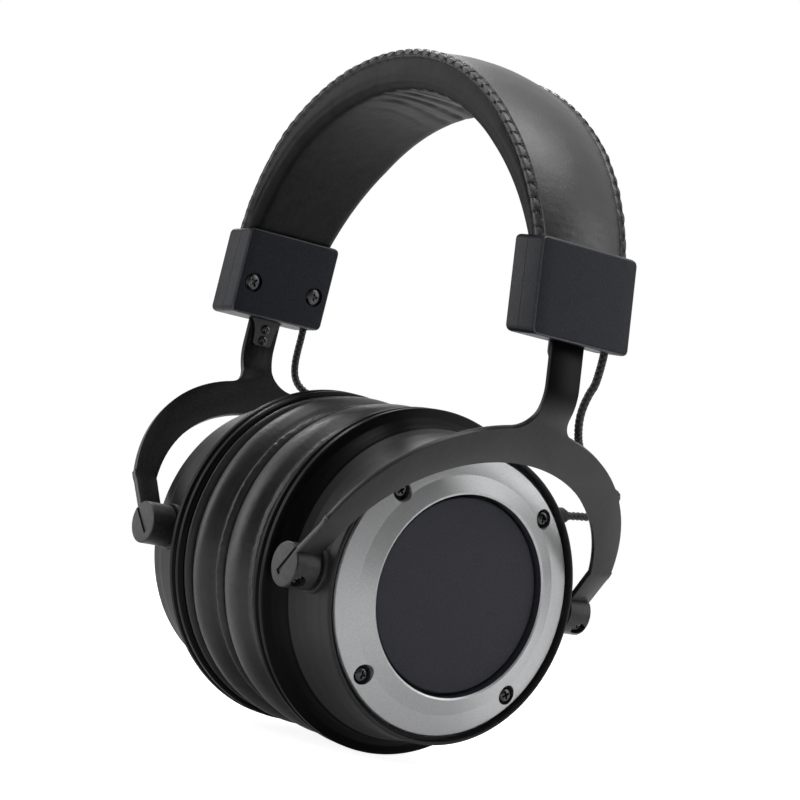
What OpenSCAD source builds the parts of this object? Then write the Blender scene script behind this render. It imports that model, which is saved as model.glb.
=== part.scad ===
// Full-size wired headphones: a padded band, two sliding forks and two tilting ear cups.
// Frame: millimetres, +Z up, +X towards the right cup, -Y to the front.
// The origin is where the underside of the band rests on the head.

/* [Setting] */
// How far the right fork is drawn out from its middle setting
extension_right = 2.7; // [-4:0.1:12]
// How far the left fork is drawn out from its middle setting
extension_left = -0.6; // [-4:0.1:12]

/* [Head band] */
// Height from the cup axis to the head rest at the middle setting
head_height = 138.5; // [136:0.1:141]
// Radius of the seam line along the band
seam_r = 77.6; // [77:0.1:78]
// Height of the seam line above the head rest at the top of the band
seam_rise = 10.8; // [10.4:0.1:11.4]
// Thickness of the pad below the seam line where it enters the end housings
pad_end_t = 5.5; // [5.2:0.1:5.8]
// Half width of the band at the top
band_hw_top = 18.1; // [17.6:0.1:19]
// Rise of the crowned top above the seam line
crown_rise = 3; // [2.6:0.1:3.4]
// Thickness of the leather
leather_t = 1.2; // [0.8:0.1:1.4]
// Thickness of the spring steel band
spring_t = 0.8; // [0.5:0.1:1]
// Half width of the spring steel band
spring_hw = 8; // [6:0.5:9]

/* [End housings] */
// Width of an end housing, front to back
housing_w = 34.3; // [34:0.1:36]
// Height of an end housing
housing_h = 27; // [26.6:0.1:28]
// Thickness of the outer shell, from the parting line
outer_depth = 6.7; // [6.6:0.1:7.2]
// Thickness of the inner shell, from the parting line
inner_depth = 5.5; // [5.4:0.1:6.4]
// Wall of the housing shells
housing_wall = 1.4; // [1.2:0.1:1.5]
// Half span between the lower ends of the slide lines
slide_half_span = 74.2; // [73.8:0.1:74.6]
// Height of the lower faces of the end housings above the cup axis
housing_rise = 68.8; // [68.2:0.1:69.6]
// Lean of the slide line from the vertical
slide_lean = 6.1; // [5.6:0.1:6.6]
// Distance between the two screws in the inner shell
housing_screw_span = 23.4; // [23:0.1:23.6]

/* [Forks] */
// Thickness of the fork plate
fork_t = 1.8; // [1.4:0.1:2]
// Width of the fork stem
stem_w = 10.9; // [10:0.1:12]
// Thickness of the steel slider strip
strip_t = 0.8; // [0.6:0.1:0.9]
// Distance from the housing to the bend of the stem at the middle setting
bend_drop = 12.8; // [12.4:0.1:14]
// Radius of the bend in the stem, at mid thickness
bend_r = 14; // [8:0.5:15]
// Radius of the outer edge of the fork arch
arch_outer_r = 52.5; // [52.4:0.1:53]
// Radius of the inner edge of the fork arch
arch_inner_r = 47.1; // [46.8:0.1:47.4]
// Radius of the fillets between stem and arch
stem_fillet_r = 7; // [5:0.5:8]
// Height of the fold above the pin axis
fold_rise = 12.7; // [12:0.1:13.4]
// Distance of the fold outwards from the pin axis
fold_out = 12.1; // [11.6:0.1:12.6]

/* [Pivots] */
// Distance of the pin axis from the plane between the cups
pin_x = 38; // [37.6:0.1:38.6]
// Diameter of the pivot blocks
pivot_d = 12.5; // [12:0.1:13]
// Distance of the outer faces of the pivot blocks from the middle
pivot_face_y = 52.8; // [52.6:0.1:53.4]
// Distance of the seat of the pivot blocks from the middle
pivot_seat_y = 44; // [44:0.1:44.4]
// Diameter of the pivot journal
journal_d = 6; // [5:0.1:7]

/* [Ear cups] */
// Radius of the cup flange
flange_r = 50; // [49.6:0.1:52]
// Distance of the pad seat from the plane between the cups
pad_depth = 18.8; // [18:0.1:19.2]
// Thickness of the flange edge
flange_t = 6.2; // [6:0.1:6.4]
// Radius of the cup drum at the pins
drum_r = 43; // [42.6:0.1:43.2]
// Radius of the rim around the trim ring
rim_r = 42.6; // [42.4:0.1:43]
// Distance of the rim from the plane between the cups
rim_x = 46.8; // [46.6:0.1:47.2]
// Wall of the cup
cup_wall = 2.2; // [1.8:0.1:2.4]
// Outer radius of the trim ring
trim_outer_r = 40.3; // [39.8:0.1:40.5]
// Inner radius of the trim ring
trim_inner_r = 28.5; // [28:0.1:30]
// Rise of the trim ring from its outer to its inner edge
trim_rise = 3.4; // [2.4:0.1:3.6]
// Radius of the circle of the trim ring screws
trim_screw_r = 36.3; // [36:0.1:36.6]
// Diameter of the trim ring screw heads
trim_screw_d = 4.2; // [3.6:0.1:4.4]
// Outer radius of the ear pad
pad_outer_r = 48.8; // [48:0.1:49.4]
// Inner radius of the ear pad
pad_inner_r = 27; // [26.4:0.2:29]
// Diameter of the driver
driver_d = 40; // [38:0.5:42]

/* [Link cables] */
// Diameter of the braided link cables
link_d = 2.3; // [2:0.1:2.5]
// Distance of the link cables from the middle, where they leave the housings
link_y = 14.4; // [14:0.1:14.6]
// Bore radius of the jack socket
jack_bore_r = 1.8; // [1.75:0.01:1.85]

/* [Hidden] */
$fn = 96;
black = [0.07, 0.07, 0.075];
dark_grey = [0.14, 0.14, 0.15];
silver = [0.62, 0.63, 0.65];
steel = [0.75, 0.76, 0.78];
foam_grey = [0.3, 0.3, 0.32];

gap = 0.1;                 // clearance between parts that are fastened together
run = 0.05;                // radial clearance of a turning journal
play = 0.15;               // clearance on each side of a sliding part
eps = 0.01;

// band
cup_z = -head_height;
seam_z = seam_rise - seam_r;                // centre of the seam arc
band_a = 73;                                // half angle of the band between the housings
// the underside is an arc through the head rest and the pad's ends
pad_end = band_point(seam_r - pad_end_t, band_a);
under_r = (pad_end[0] * pad_end[0] + pad_end[1] * pad_end[1]) / (-2 * pad_end[1]);
under_z = -under_r;                         // centre of the underside arc
band_hw_end = housing_w / 2 - housing_wall - 2 * gap;
crown_r = (band_hw_top * band_hw_top + crown_rise * crown_rise) / (2 * crown_rise);
crown_top = seam_r + crown_rise;            // crown height from the seam arc's centre
spring_r = seam_r - leather_t - gap;        // outer radius of the spring band
core_r = spring_r + gap;                    // where the crown foam starts
band_far = crown_top + 10;                  // beyond every part of the band
bridge_d = 1.2;                             // wire from side to side, in a groove of the pad foam
bridge_r = core_r - bridge_d / 2 - play;
bridge_y = 11;
bridge_a = 66;

// housings, in a frame on the slide line with its origin at the lower face
housing_z = cup_z + housing_rise;
bed = housing_h - 2;                        // height in the housing at which the band ends
inner_x = -inner_depth + housing_wall;      // inside faces of the two shells
outer_x = outer_depth - housing_wall;
inner_hw = housing_w / 2 - housing_wall;
housing_chamfer = 1.6;
press_h = 10;                               // height above the housing over which the crown is pressed flat
guide_z = 7;
guide_h = 6.5;
guide_hw = 11;
screw_z = 11.9;
channel_h = 22;
screw_head_d = 5.2;
screw_head_t = 0.7;
screw_boss_r = 2.2;
screw_hole_d = 6.3;
screw_shank_d = 1.6;
rivet_y = 4.5;
rivet_z = 19;
rivet_d = 2.4;
spring_end_z = 14.5;
spring_a = 63.6;                             // half angle at which the arc of the spring band ends
spring_slot = 40;                           // end of the foam's slots for its straight ends
spring_end_x = -1.6;                        // outer face of the spring band in the housing

// forks, at the middle setting
strip_top = 26;                             // top of the slider strip above the housing's lower face
lap_top = 2;                                // top of the fork stem
lap_len = 9.8;
bend_at = [fork_t / 2, -bend_drop];         // in the housing frame
bend_x = slide_half_span + bend_at[0] * cos(slide_lean) - bend_at[1] * sin(slide_lean);
bend_z = housing_z + bend_at[0] * sin(slide_lean) + bend_at[1] * cos(slide_lean);
fold_x = pin_x + fold_out;
fold_z = cup_z + fold_rise;
plate_lean = atan2(bend_x - fold_x, bend_z - fold_z);
plate_len = norm([bend_x - fold_x, bend_z - fold_z]);
tab_lean = atan2(fold_out, fold_rise);
tab_len = norm([fold_out, fold_rise]);
bend_turn = plate_lean + slide_lean;
bend_tangent = bend_r * tan(bend_turn / 2);
arm_hw = pivot_face_y - 4 * gap;            // outer edge of the arms
arch_outer_s = -10.7;                       // centres of the two edges, up the plate from the fold
arch_inner_s = -16.8;
arch_hw = sqrt(arch_outer_r * arch_outer_r - arch_outer_s * arch_outer_s);
arm_in = sqrt(arch_inner_r * arch_inner_r - arch_inner_s * arch_inner_s);
fillet_y = stem_w / 2 + stem_fillet_r;
fillet_s = arch_outer_s + sqrt(pow(arch_outer_r + stem_fillet_r, 2) - fillet_y * fillet_y);
fillet_touch = arch_outer_r / (arch_outer_r + stem_fillet_r);
fillet_touch_s = arch_outer_s + (fillet_s - arch_outer_s) * fillet_touch;
stem_root = 15;                             // how far the stem's sides run down from the bend
tab_below = 3.6;                            // how far the tab passes the pin axis
tab_inner_y = pivot_seat_y + 1.2;
function up(lean) = [sin(lean), cos(lean)];
function out(lean) = [cos(lean), -sin(lean)];
bend_centre = [bend_x, bend_z] - bend_tangent * up(plate_lean) - bend_r * out(plate_lean);
fold_mean = (tab_lean + plate_lean) / 2;
// the fork's middle line from the tab to the stem, each point with its offset to the outer face
fork_line = concat(
    [[[pin_x, cup_z] - tab_below * up(tab_lean), fork_t / 2 * out(tab_lean)],
     [[fold_x, fold_z], fork_t / 2 / cos(tab_lean - fold_mean) * out(fold_mean)]],
    [for (k = [0 : 12]) let (lean = plate_lean - bend_turn * k / 12)
        [bend_centre + bend_r * out(lean), fork_t / 2 * out(lean)]],
    [[[slide_half_span, housing_z] + fork_t / 2 * out(-slide_lean) + lap_top * up(-slide_lean),
        fork_t / 2 * out(-slide_lean)]]);
stem_screw_d = 2;
stem_screw_head_d = 3;
stem_screw_z = [-2.4, -6];

// pivots
boss_d = 13.6;
boss_in_y = 39.2;
journal_end_y = 37.6;
clip_y = 38.25;
clip_t = 0.6;
clip_flat = 3;                              // flat of the clip, clear of the cup's face
clamp_y = 50.3;
clamp_head_d = 3.6;
clamp_d = 2;
clamp_seat = 4.4;

// cups, in a frame on the cup's axis with x = 0 between the cups
flange_x = pad_depth + 0.2;
baffle_t = 3.2;
cup_x = flange_x + baffle_t;                // where the cup meets the baffle
flange_end = flange_x + flange_t;
plate_x = rim_x - 3.2;                      // face that the trim ring sits on
plate_t = 2;
trim_x = plate_x + 2.3;                     // outer edge of the trim ring
trim_gap = 1.3;                             // dark gap around the trim ring
pad_x = 0.2;                                // half the gap between the pads
cap_face = plate_x + 3.8;
trim_screw_a = [45, 135, 225, 315];
baffle_screw_r = 45.6;
gland_x = 41.5;                             // the gland's axis starts above the cup's and rises to the rear
gland_z = 22.3;
gland_rise = 8;
gland_end = 37.9;
gland_d = 5;
gland_len = 6.2;
jack_x = 33;
jack_d = 6;
jack_len = 14;
foam_r = 28.4;
magnet_r = 12;
pad_inner_roll = 4;                         // radius of the pad's roll round the ear
link_slack = 3.4;                           // room for the cable to swing inwards below the housing
pad_roll = (pad_depth - pad_x) / 2;

// cords, chosen by hand: from the housing towards the cup in the frame of each fork at its middle
// setting, and then to the gland in the frame of the cup
function slide_point(u) = [slide_half_span - u * sin(slide_lean), link_y,
    housing_z + u * cos(slide_lean)];
link_upper_right = [slide_point(17), slide_point(10), slide_point(4), [72.6, 14.4, -74.1],
    [70.6, 14.5, -77.5], [68.9, 14.7, -80.8], [67.4, 15.4, -84.2], [65.2, 17.6, -88], [61.6, 22, -91.7],
    [58.4, 28.2, -95.1], [55.4, 35, -98.3], [52.2, 41.6, -100.6]];
link_upper_left = [slide_point(17), slide_point(10), slide_point(4), [74.4, 14.4, -72.4],
    [74.9, 14.4, -76.6], [75, 14.4, -80.4], [74.3, 14.5, -83.8], [72.6, 14.9, -86.6], [69.8, 15.8, -88.7],
    [66.2, 17.8, -90.5], [62.2, 21, -92.5], [58.1, 25.8, -95], [54.3, 31.4, -97.4], [51.2, 37, -99.1],
    [49.2, 42, -100.4]];
function gland_point(u) = [gland_x, u * cos(gland_rise), gland_z + u * sin(gland_rise)];
link_lower = [[50.2, 46.4, 37.1], [49, 48.8, 36], [47, 49.9, 34], [44.8, 49.9, 31.8], [42.8, 48.8, 29.8],
    [41.6, 46.7, 28.7], gland_point(gland_end + 4), gland_point(gland_end + gap / 2)];

// points of the side view, [x, z]: on the band by radius and angle, and in the frame of the right housing
function band_point(r, a) = [r * sin(a), seam_z + r * cos(a)];
function housing_point(x, z) = [slide_half_span + x * cos(slide_lean) - z * sin(slide_lean),
    housing_z + x * sin(slide_lean) + z * cos(slide_lean)];
function ext(s) = s > 0 ? extension_right : extension_left;
tilt = atan2((extension_right - extension_left) * cos(slide_lean),
    2 * pin_x + (extension_right + extension_left) * sin(slide_lean));

function to_fork(p, s) = [pin_x + (p[0] - pin_x) * cos(tilt) + p[2] * s * sin(tilt), p[1],
    cup_z - (p[0] - pin_x) * s * sin(tilt) + p[2] * cos(tilt)];
function link_points(s) = concat(s > 0 ? link_upper_right : link_upper_left,
    [for (p = link_lower) to_fork(p, s)]);

function cross3(a, b) = [a[1] * b[2] - a[2] * b[1], a[2] * b[0] - a[0] * b[2], a[0] * b[1] - a[1] * b[0]];
function unit(a) = a / norm(a);
// smooth curve through the points p
function spline(p, k, t) = let (
        a = p[max(k - 1, 0)], b = p[k], c = p[k + 1], d = p[min(k + 2, len(p) - 1)])
    0.5 * (2 * b + (c - a) * t + (2 * a - 5 * b + 4 * c - d) * t * t
        + (3 * b - a - 3 * c + d) * t * t * t);
function smooth(p, n) = [for (k = [0 : len(p) - 2]) for (j = [0 : n - 1]) spline(p, k, j / n), p[len(p) - 1]];

module tube(path, d, sides) {
    n = len(path);
    dir = [for (i = [0 : n - 1]) unit(path[min(i + 1, n - 1)] - path[max(i - 1, 0)])];
    side = [for (i = [0 : n - 1]) unit(cross3(dir[i], [0.3, 1, 0.2]))];
    points = [for (i = [0 : n - 1]) for (j = [0 : sides - 1])
        path[i] + d / 2 * (cos(j * 360 / sides) * side[i] + sin(j * 360 / sides) * cross3(dir[i], side[i]))];
    walls = [for (i = [0 : n - 2]) for (j = [0 : sides - 1])
        [i * sides + j, i * sides + (j + 1) % sides, (i + 1) * sides + (j + 1) % sides, (i + 1) * sides + j]];
    start = [for (j = [0 : sides - 1]) sides - 1 - j];
    end = [for (j = [0 : sides - 1]) (n - 1) * sides + j];
    polyhedron(points, concat([start], walls, [end]));
}

// places
module on_side(s) {
    if (s > 0) children();
    else mirror([1, 0, 0]) children();
}
module at_housing(s) {
    on_side(s) translate([slide_half_span, 0, housing_z]) rotate([0, -slide_lean, 0]) children();
}
module at_fork(s) {
    on_side(s) translate([ext(s) * sin(slide_lean), 0, -ext(s) * cos(slide_lean)]) children();
}
module at_stem(s) {
    at_housing(s) translate([0, 0, -ext(s)]) children();
}
module at_cup(s) {
    at_fork(s) translate([pin_x, 0, cup_z]) rotate([0, s * tilt, 0]) translate([-pin_x, 0, 0]) children();
}
// turns a shape made around +Z so that its axis lies along +X
module lathe_x() { rotate([0, 90, 0]) children(); }
// a profile of [x, radius] points turned round the cup axis
module turned(profile) {
    lathe_x() rotate_extrude() polygon([for (p = profile) [p[1], p[0]]]);
}
module disc(x0, x1, r) { translate([x0, 0, 0]) lathe_x() cylinder(h = x1 - x0, r = r); }
module block(lo, hi) { translate(lo) cube(hi - lo); }
module both_pins() {
    children();
    mirror([0, 1, 0]) children();
}

// ---- head band ----
module band_arc(from_a, to_a) {
    translate([0, 0, seam_z]) rotate([90, 0, 0]) rotate([0, 0, 90 - to_a])
        rotate_extrude(angle = to_a - from_a, $fn = 180) children();
}
// half width of the band at every height, as a prism along X
module band_taper(less) {
    rotate([90, 0, 90]) linear_extrude(height = 4 * band_far, center = true) polygon([
        [-(band_hw_end - less), -band_far], [band_hw_end - less, -band_far],
        [band_hw_end - less, housing_z + housing_h],
        [band_hw_top - less, -seam_rise], [band_hw_top - less, band_far],
        [-(band_hw_top - less), band_far], [-(band_hw_top - less), -seam_rise],
        [-(band_hw_end - less), housing_z + housing_h]]);
}
// everything of the band above the beds of the two housings
module above_beds(lift = 0) {
    difference() {
        cube([4 * band_far, 2 * band_far, 4 * band_far], center = true);
        for (s = [-1, 1]) at_housing(s) {
            block([-band_far * 0.6, -band_far, bed - 2 * band_far], [band_far, band_far, bed + lift]);
            // the crown is pressed flat where it enters the housing
            block([outer_x - gap, -band_far, bed - 1], [band_far, band_far, housing_h + press_h]);
        }
    }
}
module under_body(less) {
    rotate([90, 0, 0]) linear_extrude(height = 2 * band_far, center = true) difference() {
        translate([0, seam_z]) circle(r = core_r, $fn = 180);
        translate([0, under_z]) circle(r = under_r + less, $fn = 180);
        translate([-2 * band_far, -4 * band_far]) square([4 * band_far, 4 * band_far + housing_z]);
    }
}
module cover_under() color(black) intersection() {
    difference() {
        intersection() { under_body(0); band_taper(0); }
        intersection() { under_body(leather_t); band_taper(leather_t); }
        block([-band_far, -spring_hw - play, housing_z],
            [band_far, spring_hw + play, housing_z + housing_h - 1]);
        foam_slots();
        spring_room();
    }
    above_beds();
}
// room in the pad for the slider strips and the straight ends of the spring band
module foam_slots() for (s = [-1, 1]) at_housing(s) {
    block([-strip_t - 2 * play, -stem_w / 2 - play, bed - 1], [2 * play, stem_w / 2 + play, strip_top + 5]);
    block([spring_end_x - spring_t - gap, -spring_hw - play, bed - 1],
        [spring_end_x + gap, spring_hw + play, spring_slot]);
}
module spring_room() spring_shape(play, spring_hw + play);
module pad_foam() color(foam_grey) intersection() {
    difference() {
        intersection() { under_body(leather_t + gap); band_taper(leather_t + gap); }
        band_arc(-90, 90) translate([spring_r - spring_t - gap, -spring_hw - play])
            square([spring_t + 3, 2 * (spring_hw + play)]);
        band_arc(-bridge_a - 1, bridge_a + 1)
            translate([bridge_r - bridge_d / 2 - play, bridge_y - bridge_d / 2 - play])
                square([bridge_d + 3, bridge_d + 2 * play]);
        foam_slots();
        spring_room();
    }
    above_beds(4);
}
module crown_shape(less) {
    intersection() {
        translate([crown_top - crown_r, 0]) circle(r = crown_r - less, $fn = 240);
        translate([core_r, -band_hw_top]) square([band_far, 2 * band_hw_top]);
    }
}
module cover_top() color(black) intersection() {
    band_arc(-90, 90) difference() {
        crown_shape(0);
        crown_shape(leather_t);
    }
    band_taper(0);
    above_beds();
}
module crown_foam() color(foam_grey) difference() {
    intersection() {
        band_arc(-90, 90) crown_shape(leather_t + gap);
        band_taper(leather_t + gap);
        above_beds();
    }
    foam_slots();
}
// the spring's shape, larger all round by more
module spring_shape(more, half)
    rotate([90, 0, 0]) linear_extrude(height = 2 * half, center = true) polygon(concat(
        [for (k = [-16 : 16]) band_point(spring_r + more, spring_a * k / 16)],
        [for (x = [spring_end_x + more, spring_end_x - spring_t - more]) housing_point(x, spring_end_z - more)],
        [for (k = [16 : -1 : -16]) band_point(spring_r - spring_t - more, spring_a * k / 16)],
        [for (x = [spring_end_x - spring_t - more, spring_end_x + more])
            let (p = housing_point(x, spring_end_z - more)) [-p[0], p[1]]]));
module spring_band() color(steel) difference() {
    spring_shape(0, spring_hw);
    for (s = [-1, 1]) at_housing(s) for (y = [-rivet_y, rivet_y])
        translate([spring_end_x - 2 * spring_t, y, rivet_z])
            lathe_x() cylinder(h = 4 * spring_t, d = rivet_d + 2 * gap);
}
module band_rivets() color(steel) for (s = [-1, 1]) at_housing(s) for (y = [-rivet_y, rivet_y])
    translate([0, y, rivet_z]) {
        disc(inner_x - 0.9, spring_end_x + eps, rivet_d / 2);
        disc(spring_end_x, spring_end_x + 0.6, rivet_d / 2 + 0.9);
    }
module bridge_cable() color(black) band_arc(-bridge_a, bridge_a)
    translate([bridge_r, bridge_y]) circle(d = bridge_d, $fn = 24);

// ---- end housings ----
module housing_outline(lo, hi, less) {
    translate([0, 0, less]) linear_extrude(height = housing_h) polygon([
        [lo, -housing_w / 2 + less], [hi - housing_chamfer, -housing_w / 2 + less],
        [hi, -housing_w / 2 + housing_chamfer + less * 0.6], [hi, housing_w / 2 - housing_chamfer - less * 0.6],
        [hi - housing_chamfer, housing_w / 2 - less], [lo, housing_w / 2 - less]]);
}
module housing_shell(depth, slack) {
    difference() {
        intersection() {
            housing_outline(0, depth, 0);
            block([0, -housing_w, 0], [depth, housing_w, housing_h]);
        }
        housing_outline(-1, depth - housing_wall, housing_wall);
        // mouth for the stem and the cable
        block([-1, -stem_w / 2 - 2 * play, -1], [fork_t + 2 * play, stem_w / 2 + 2 * play, housing_wall + 1]);
        translate([0, link_y, -1]) cylinder(h = housing_wall + 2, d = link_d + 4 * play);
        block([-1, link_y - link_d / 2 - 2 * play, -1],
            [slack, link_y + link_d / 2 + 2 * play, housing_wall + 1]);
    }
}
// channel for the cable past the screw bosses
module cable_channel() { translate([0, link_y, -1]) cylinder(h = channel_h, d = link_d + 4 * play); }
module housing_outer(s) color(dark_grey) at_housing(s) {
    housing_shell(outer_depth, eps);
    difference() {
        for (y = [-1, 1]) translate([0, y * housing_screw_span / 2, screw_z]) difference() {
            disc(0, outer_x + eps, screw_boss_r);
            disc(-1, outer_x - 1, screw_shank_d / 2);
        }
        cable_channel();
    }
}
module housing_inner(s) color(dark_grey) at_housing(s) difference() {
    union() {
        mirror([1, 0, 0]) housing_shell(inner_depth, link_slack);
        for (y = [-1, 1]) translate([0, y * housing_screw_span / 2, screw_z]) disc(inner_x - eps, 0, screw_boss_r);
        for (y = [-1, 1]) translate([0, y * rivet_y, rivet_z]) disc(inner_x - eps, spring_end_x - spring_t, 2.6);
    }
    for (y = [-1, 1]) {
        translate([0, y * housing_screw_span / 2, screw_z]) {
            disc(-inner_depth - 1, inner_x - 0.6, screw_hole_d / 2);
            disc(-inner_depth, 1, screw_shank_d / 2 + gap);
        }
        cable_channel();
        translate([0, y * rivet_y, rivet_z]) disc(inner_x - 1, 0, rivet_d / 2 + gap);
    }
}
module cross_screw(head_d, head_t, shank_d, shank_len) {
    // head face at x = 0, shank towards +x
    difference() {
        disc(0, head_t, head_d / 2);
        for (a = [0, 90]) rotate([a, 0, 0])
            block([-1, -head_d * 0.32, -head_d * 0.07], [head_t * 0.55, head_d * 0.32, head_d * 0.07]);
    }
    disc(head_t - eps, head_t + shank_len, shank_d / 2);
}
module housing_screws(s) color(steel) at_housing(s) for (y = [-1, 1])
    translate([inner_x - 0.6 - screw_head_t, y * housing_screw_span / 2, screw_z])
        cross_screw(screw_head_d, screw_head_t, screw_shank_d - gap, outer_x - inner_x - 1.2);
module slider_guide(s) color(black) at_housing(s) difference() {
    block([inner_x + gap, -guide_hw, guide_z], [outer_x - gap, guide_hw, guide_z + guide_h]);
    block([-strip_t - play, -stem_w / 2 - play, guide_z - 1], [play, stem_w / 2 + play, guide_z + guide_h + 1]);
    block([play, -2.6, guide_z + 1], [1.6, 2.6, guide_z + guide_h + 1]);
    for (y = [-1, 1]) translate([0, y * housing_screw_span / 2, screw_z]) disc(inner_x - 1, outer_x + 1, 2.8);
}
module detent_spring(s) color(steel) at_housing(s) {
    block([0.9, -2, guide_z + 1 + gap], [1.3, 2, guide_z + guide_h + 4]);
    translate([0.95, 2, guide_z + guide_h + 2]) rotate([90, 0, 0]) cylinder(h = 4, r = 0.7, $fn = 32);
}

// ---- forks ----
// the fork in side view: tab, fold, plate, bend and stem as one bent strip
module fork_section() {
    rotate([90, 0, 0]) linear_extrude(height = 2 * arm_hw, center = true)
        polygon(concat([for (p = fork_line) p[0] + p[1]], [for (k = [len(fork_line) - 1 : -1 : 0])
            fork_line[k][0] - fork_line[k][1]]));
}
// 2D outline in [y, distance up the plate], as a prism square to a plate that leans
module through_plate(x, z, lean) {
    translate([x, 0, z]) rotate([0, lean, 0]) rotate([90, 0, 90])
        linear_extrude(height = 10 * fork_t, center = true) children();
}
module arch_outline() {
    difference() {
        union() {
            intersection() {
                translate([0, arch_outer_s]) circle(r = arch_outer_r, $fn = 180);
                translate([-arm_hw, 0]) square([2 * arm_hw, plate_len]);
            }
            for (m = [0, 1]) mirror([m, 0]) difference() {
                polygon([[0, fillet_touch_s - stem_w / 2], [0, fillet_s], [fillet_y, fillet_s],
                    [fillet_y * fillet_touch, fillet_touch_s]]);
                translate([fillet_y, fillet_s]) circle(r = stem_fillet_r);
            }
        }
        translate([0, arch_inner_s]) circle(r = arch_inner_r, $fn = 180);
    }
}
module tab_outline() {
    polygon([[arm_in, tab_len + fork_t], [arch_hw, tab_len + fork_t], [arch_hw, tab_len - fork_t],
        [arm_hw, tab_len * 0.35], [arm_hw, -2 * tab_below],
        [tab_inner_y, -2 * tab_below], [tab_inner_y, tab_len * 0.4], [arm_in, tab_len - fork_t / 2]]);
}
module fork(s) color(black) difference() {
    at_fork(s) intersection() {
        fork_section();
        union() {
            through_plate(fold_x, fold_z, plate_lean) arch_outline();
            both_pins() through_plate(pin_x, cup_z, tab_lean) tab_outline();
            block([0, -stem_w / 2, bend_z - stem_root], [2 * slide_half_span, stem_w / 2, 0]);
        }
    }
    at_stem(s) for (z = stem_screw_z) translate([0, 0, z]) disc(-1, fork_t - 0.4, stem_screw_d / 2);
}
module slider_strip(s) color(steel) at_stem(s) difference() {
    block([-strip_t, -stem_w / 2, lap_top - lap_len], [0, stem_w / 2, strip_top]);
    for (z = stem_screw_z) translate([0, 0, z]) disc(-strip_t - 1, 1, stem_screw_d / 2 + gap);
}
module stem_screws(s) color(steel) at_stem(s) for (z = stem_screw_z)
    translate([-strip_t - 0.8, 0, z]) cross_screw(stem_screw_head_d, 0.8, stem_screw_d - 0.1, strip_t + 1.2);

// ---- pivots ----
module along_y(y0, y1, d) { translate([0, y0, 0]) rotate([-90, 0, 0]) cylinder(h = y1 - y0, d = d); }
module at_pin(s) { at_fork(s) translate([pin_x, 0, cup_z]) children(); }
module pivot_blocks(s) color(black) at_pin(s) both_pins() difference() {
    union() {
        along_y(pivot_seat_y + 0.2, pivot_face_y, pivot_d);
        along_y(journal_end_y, pivot_seat_y + 0.3, journal_d);
    }
    rotate([0, tab_lean, 0]) {
        block([-fork_t / 2 - eps, tab_inner_y - gap, -tab_below - gap],
            [fork_t / 2 + eps, pivot_face_y + 1, pivot_d]);
        translate([0, clamp_y, 0]) {
            disc(0, pivot_d, clamp_d / 2 + gap);
            disc(clamp_seat, pivot_d, clamp_head_d / 2 + 0.3);
        }
    }
    difference() {
        along_y(clip_y - gap, clip_y + clip_t + gap, journal_d + 1);
        along_y(clip_y - 1, clip_y + clip_t + 1, journal_d - 1);
    }
}
module clamp_screws(s) color(steel) at_pin(s) both_pins() rotate([0, tab_lean, 0])
    translate([clamp_seat + 1.2, clamp_y, 0]) mirror([1, 0, 0])
        cross_screw(clamp_head_d, 1.2, clamp_d, clamp_seat - fork_t / 2 - gap);
module pivot_clips(s) color(steel) at_pin(s) both_pins() difference() {
    along_y(clip_y, clip_y + clip_t, journal_d + 3);
    along_y(clip_y - 1, clip_y + 2, journal_d - 1 + gap);
    block([-1.6, clip_y - 1, -journal_d], [1.6, clip_y + 2, 0]);
    block([clip_flat, clip_y - 1, -journal_d], [journal_d, clip_y + 2, journal_d]);
}
module link_cable(s) color(black) at_fork(s) tube(smooth(link_points(s), 3), link_d, 8);

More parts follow.
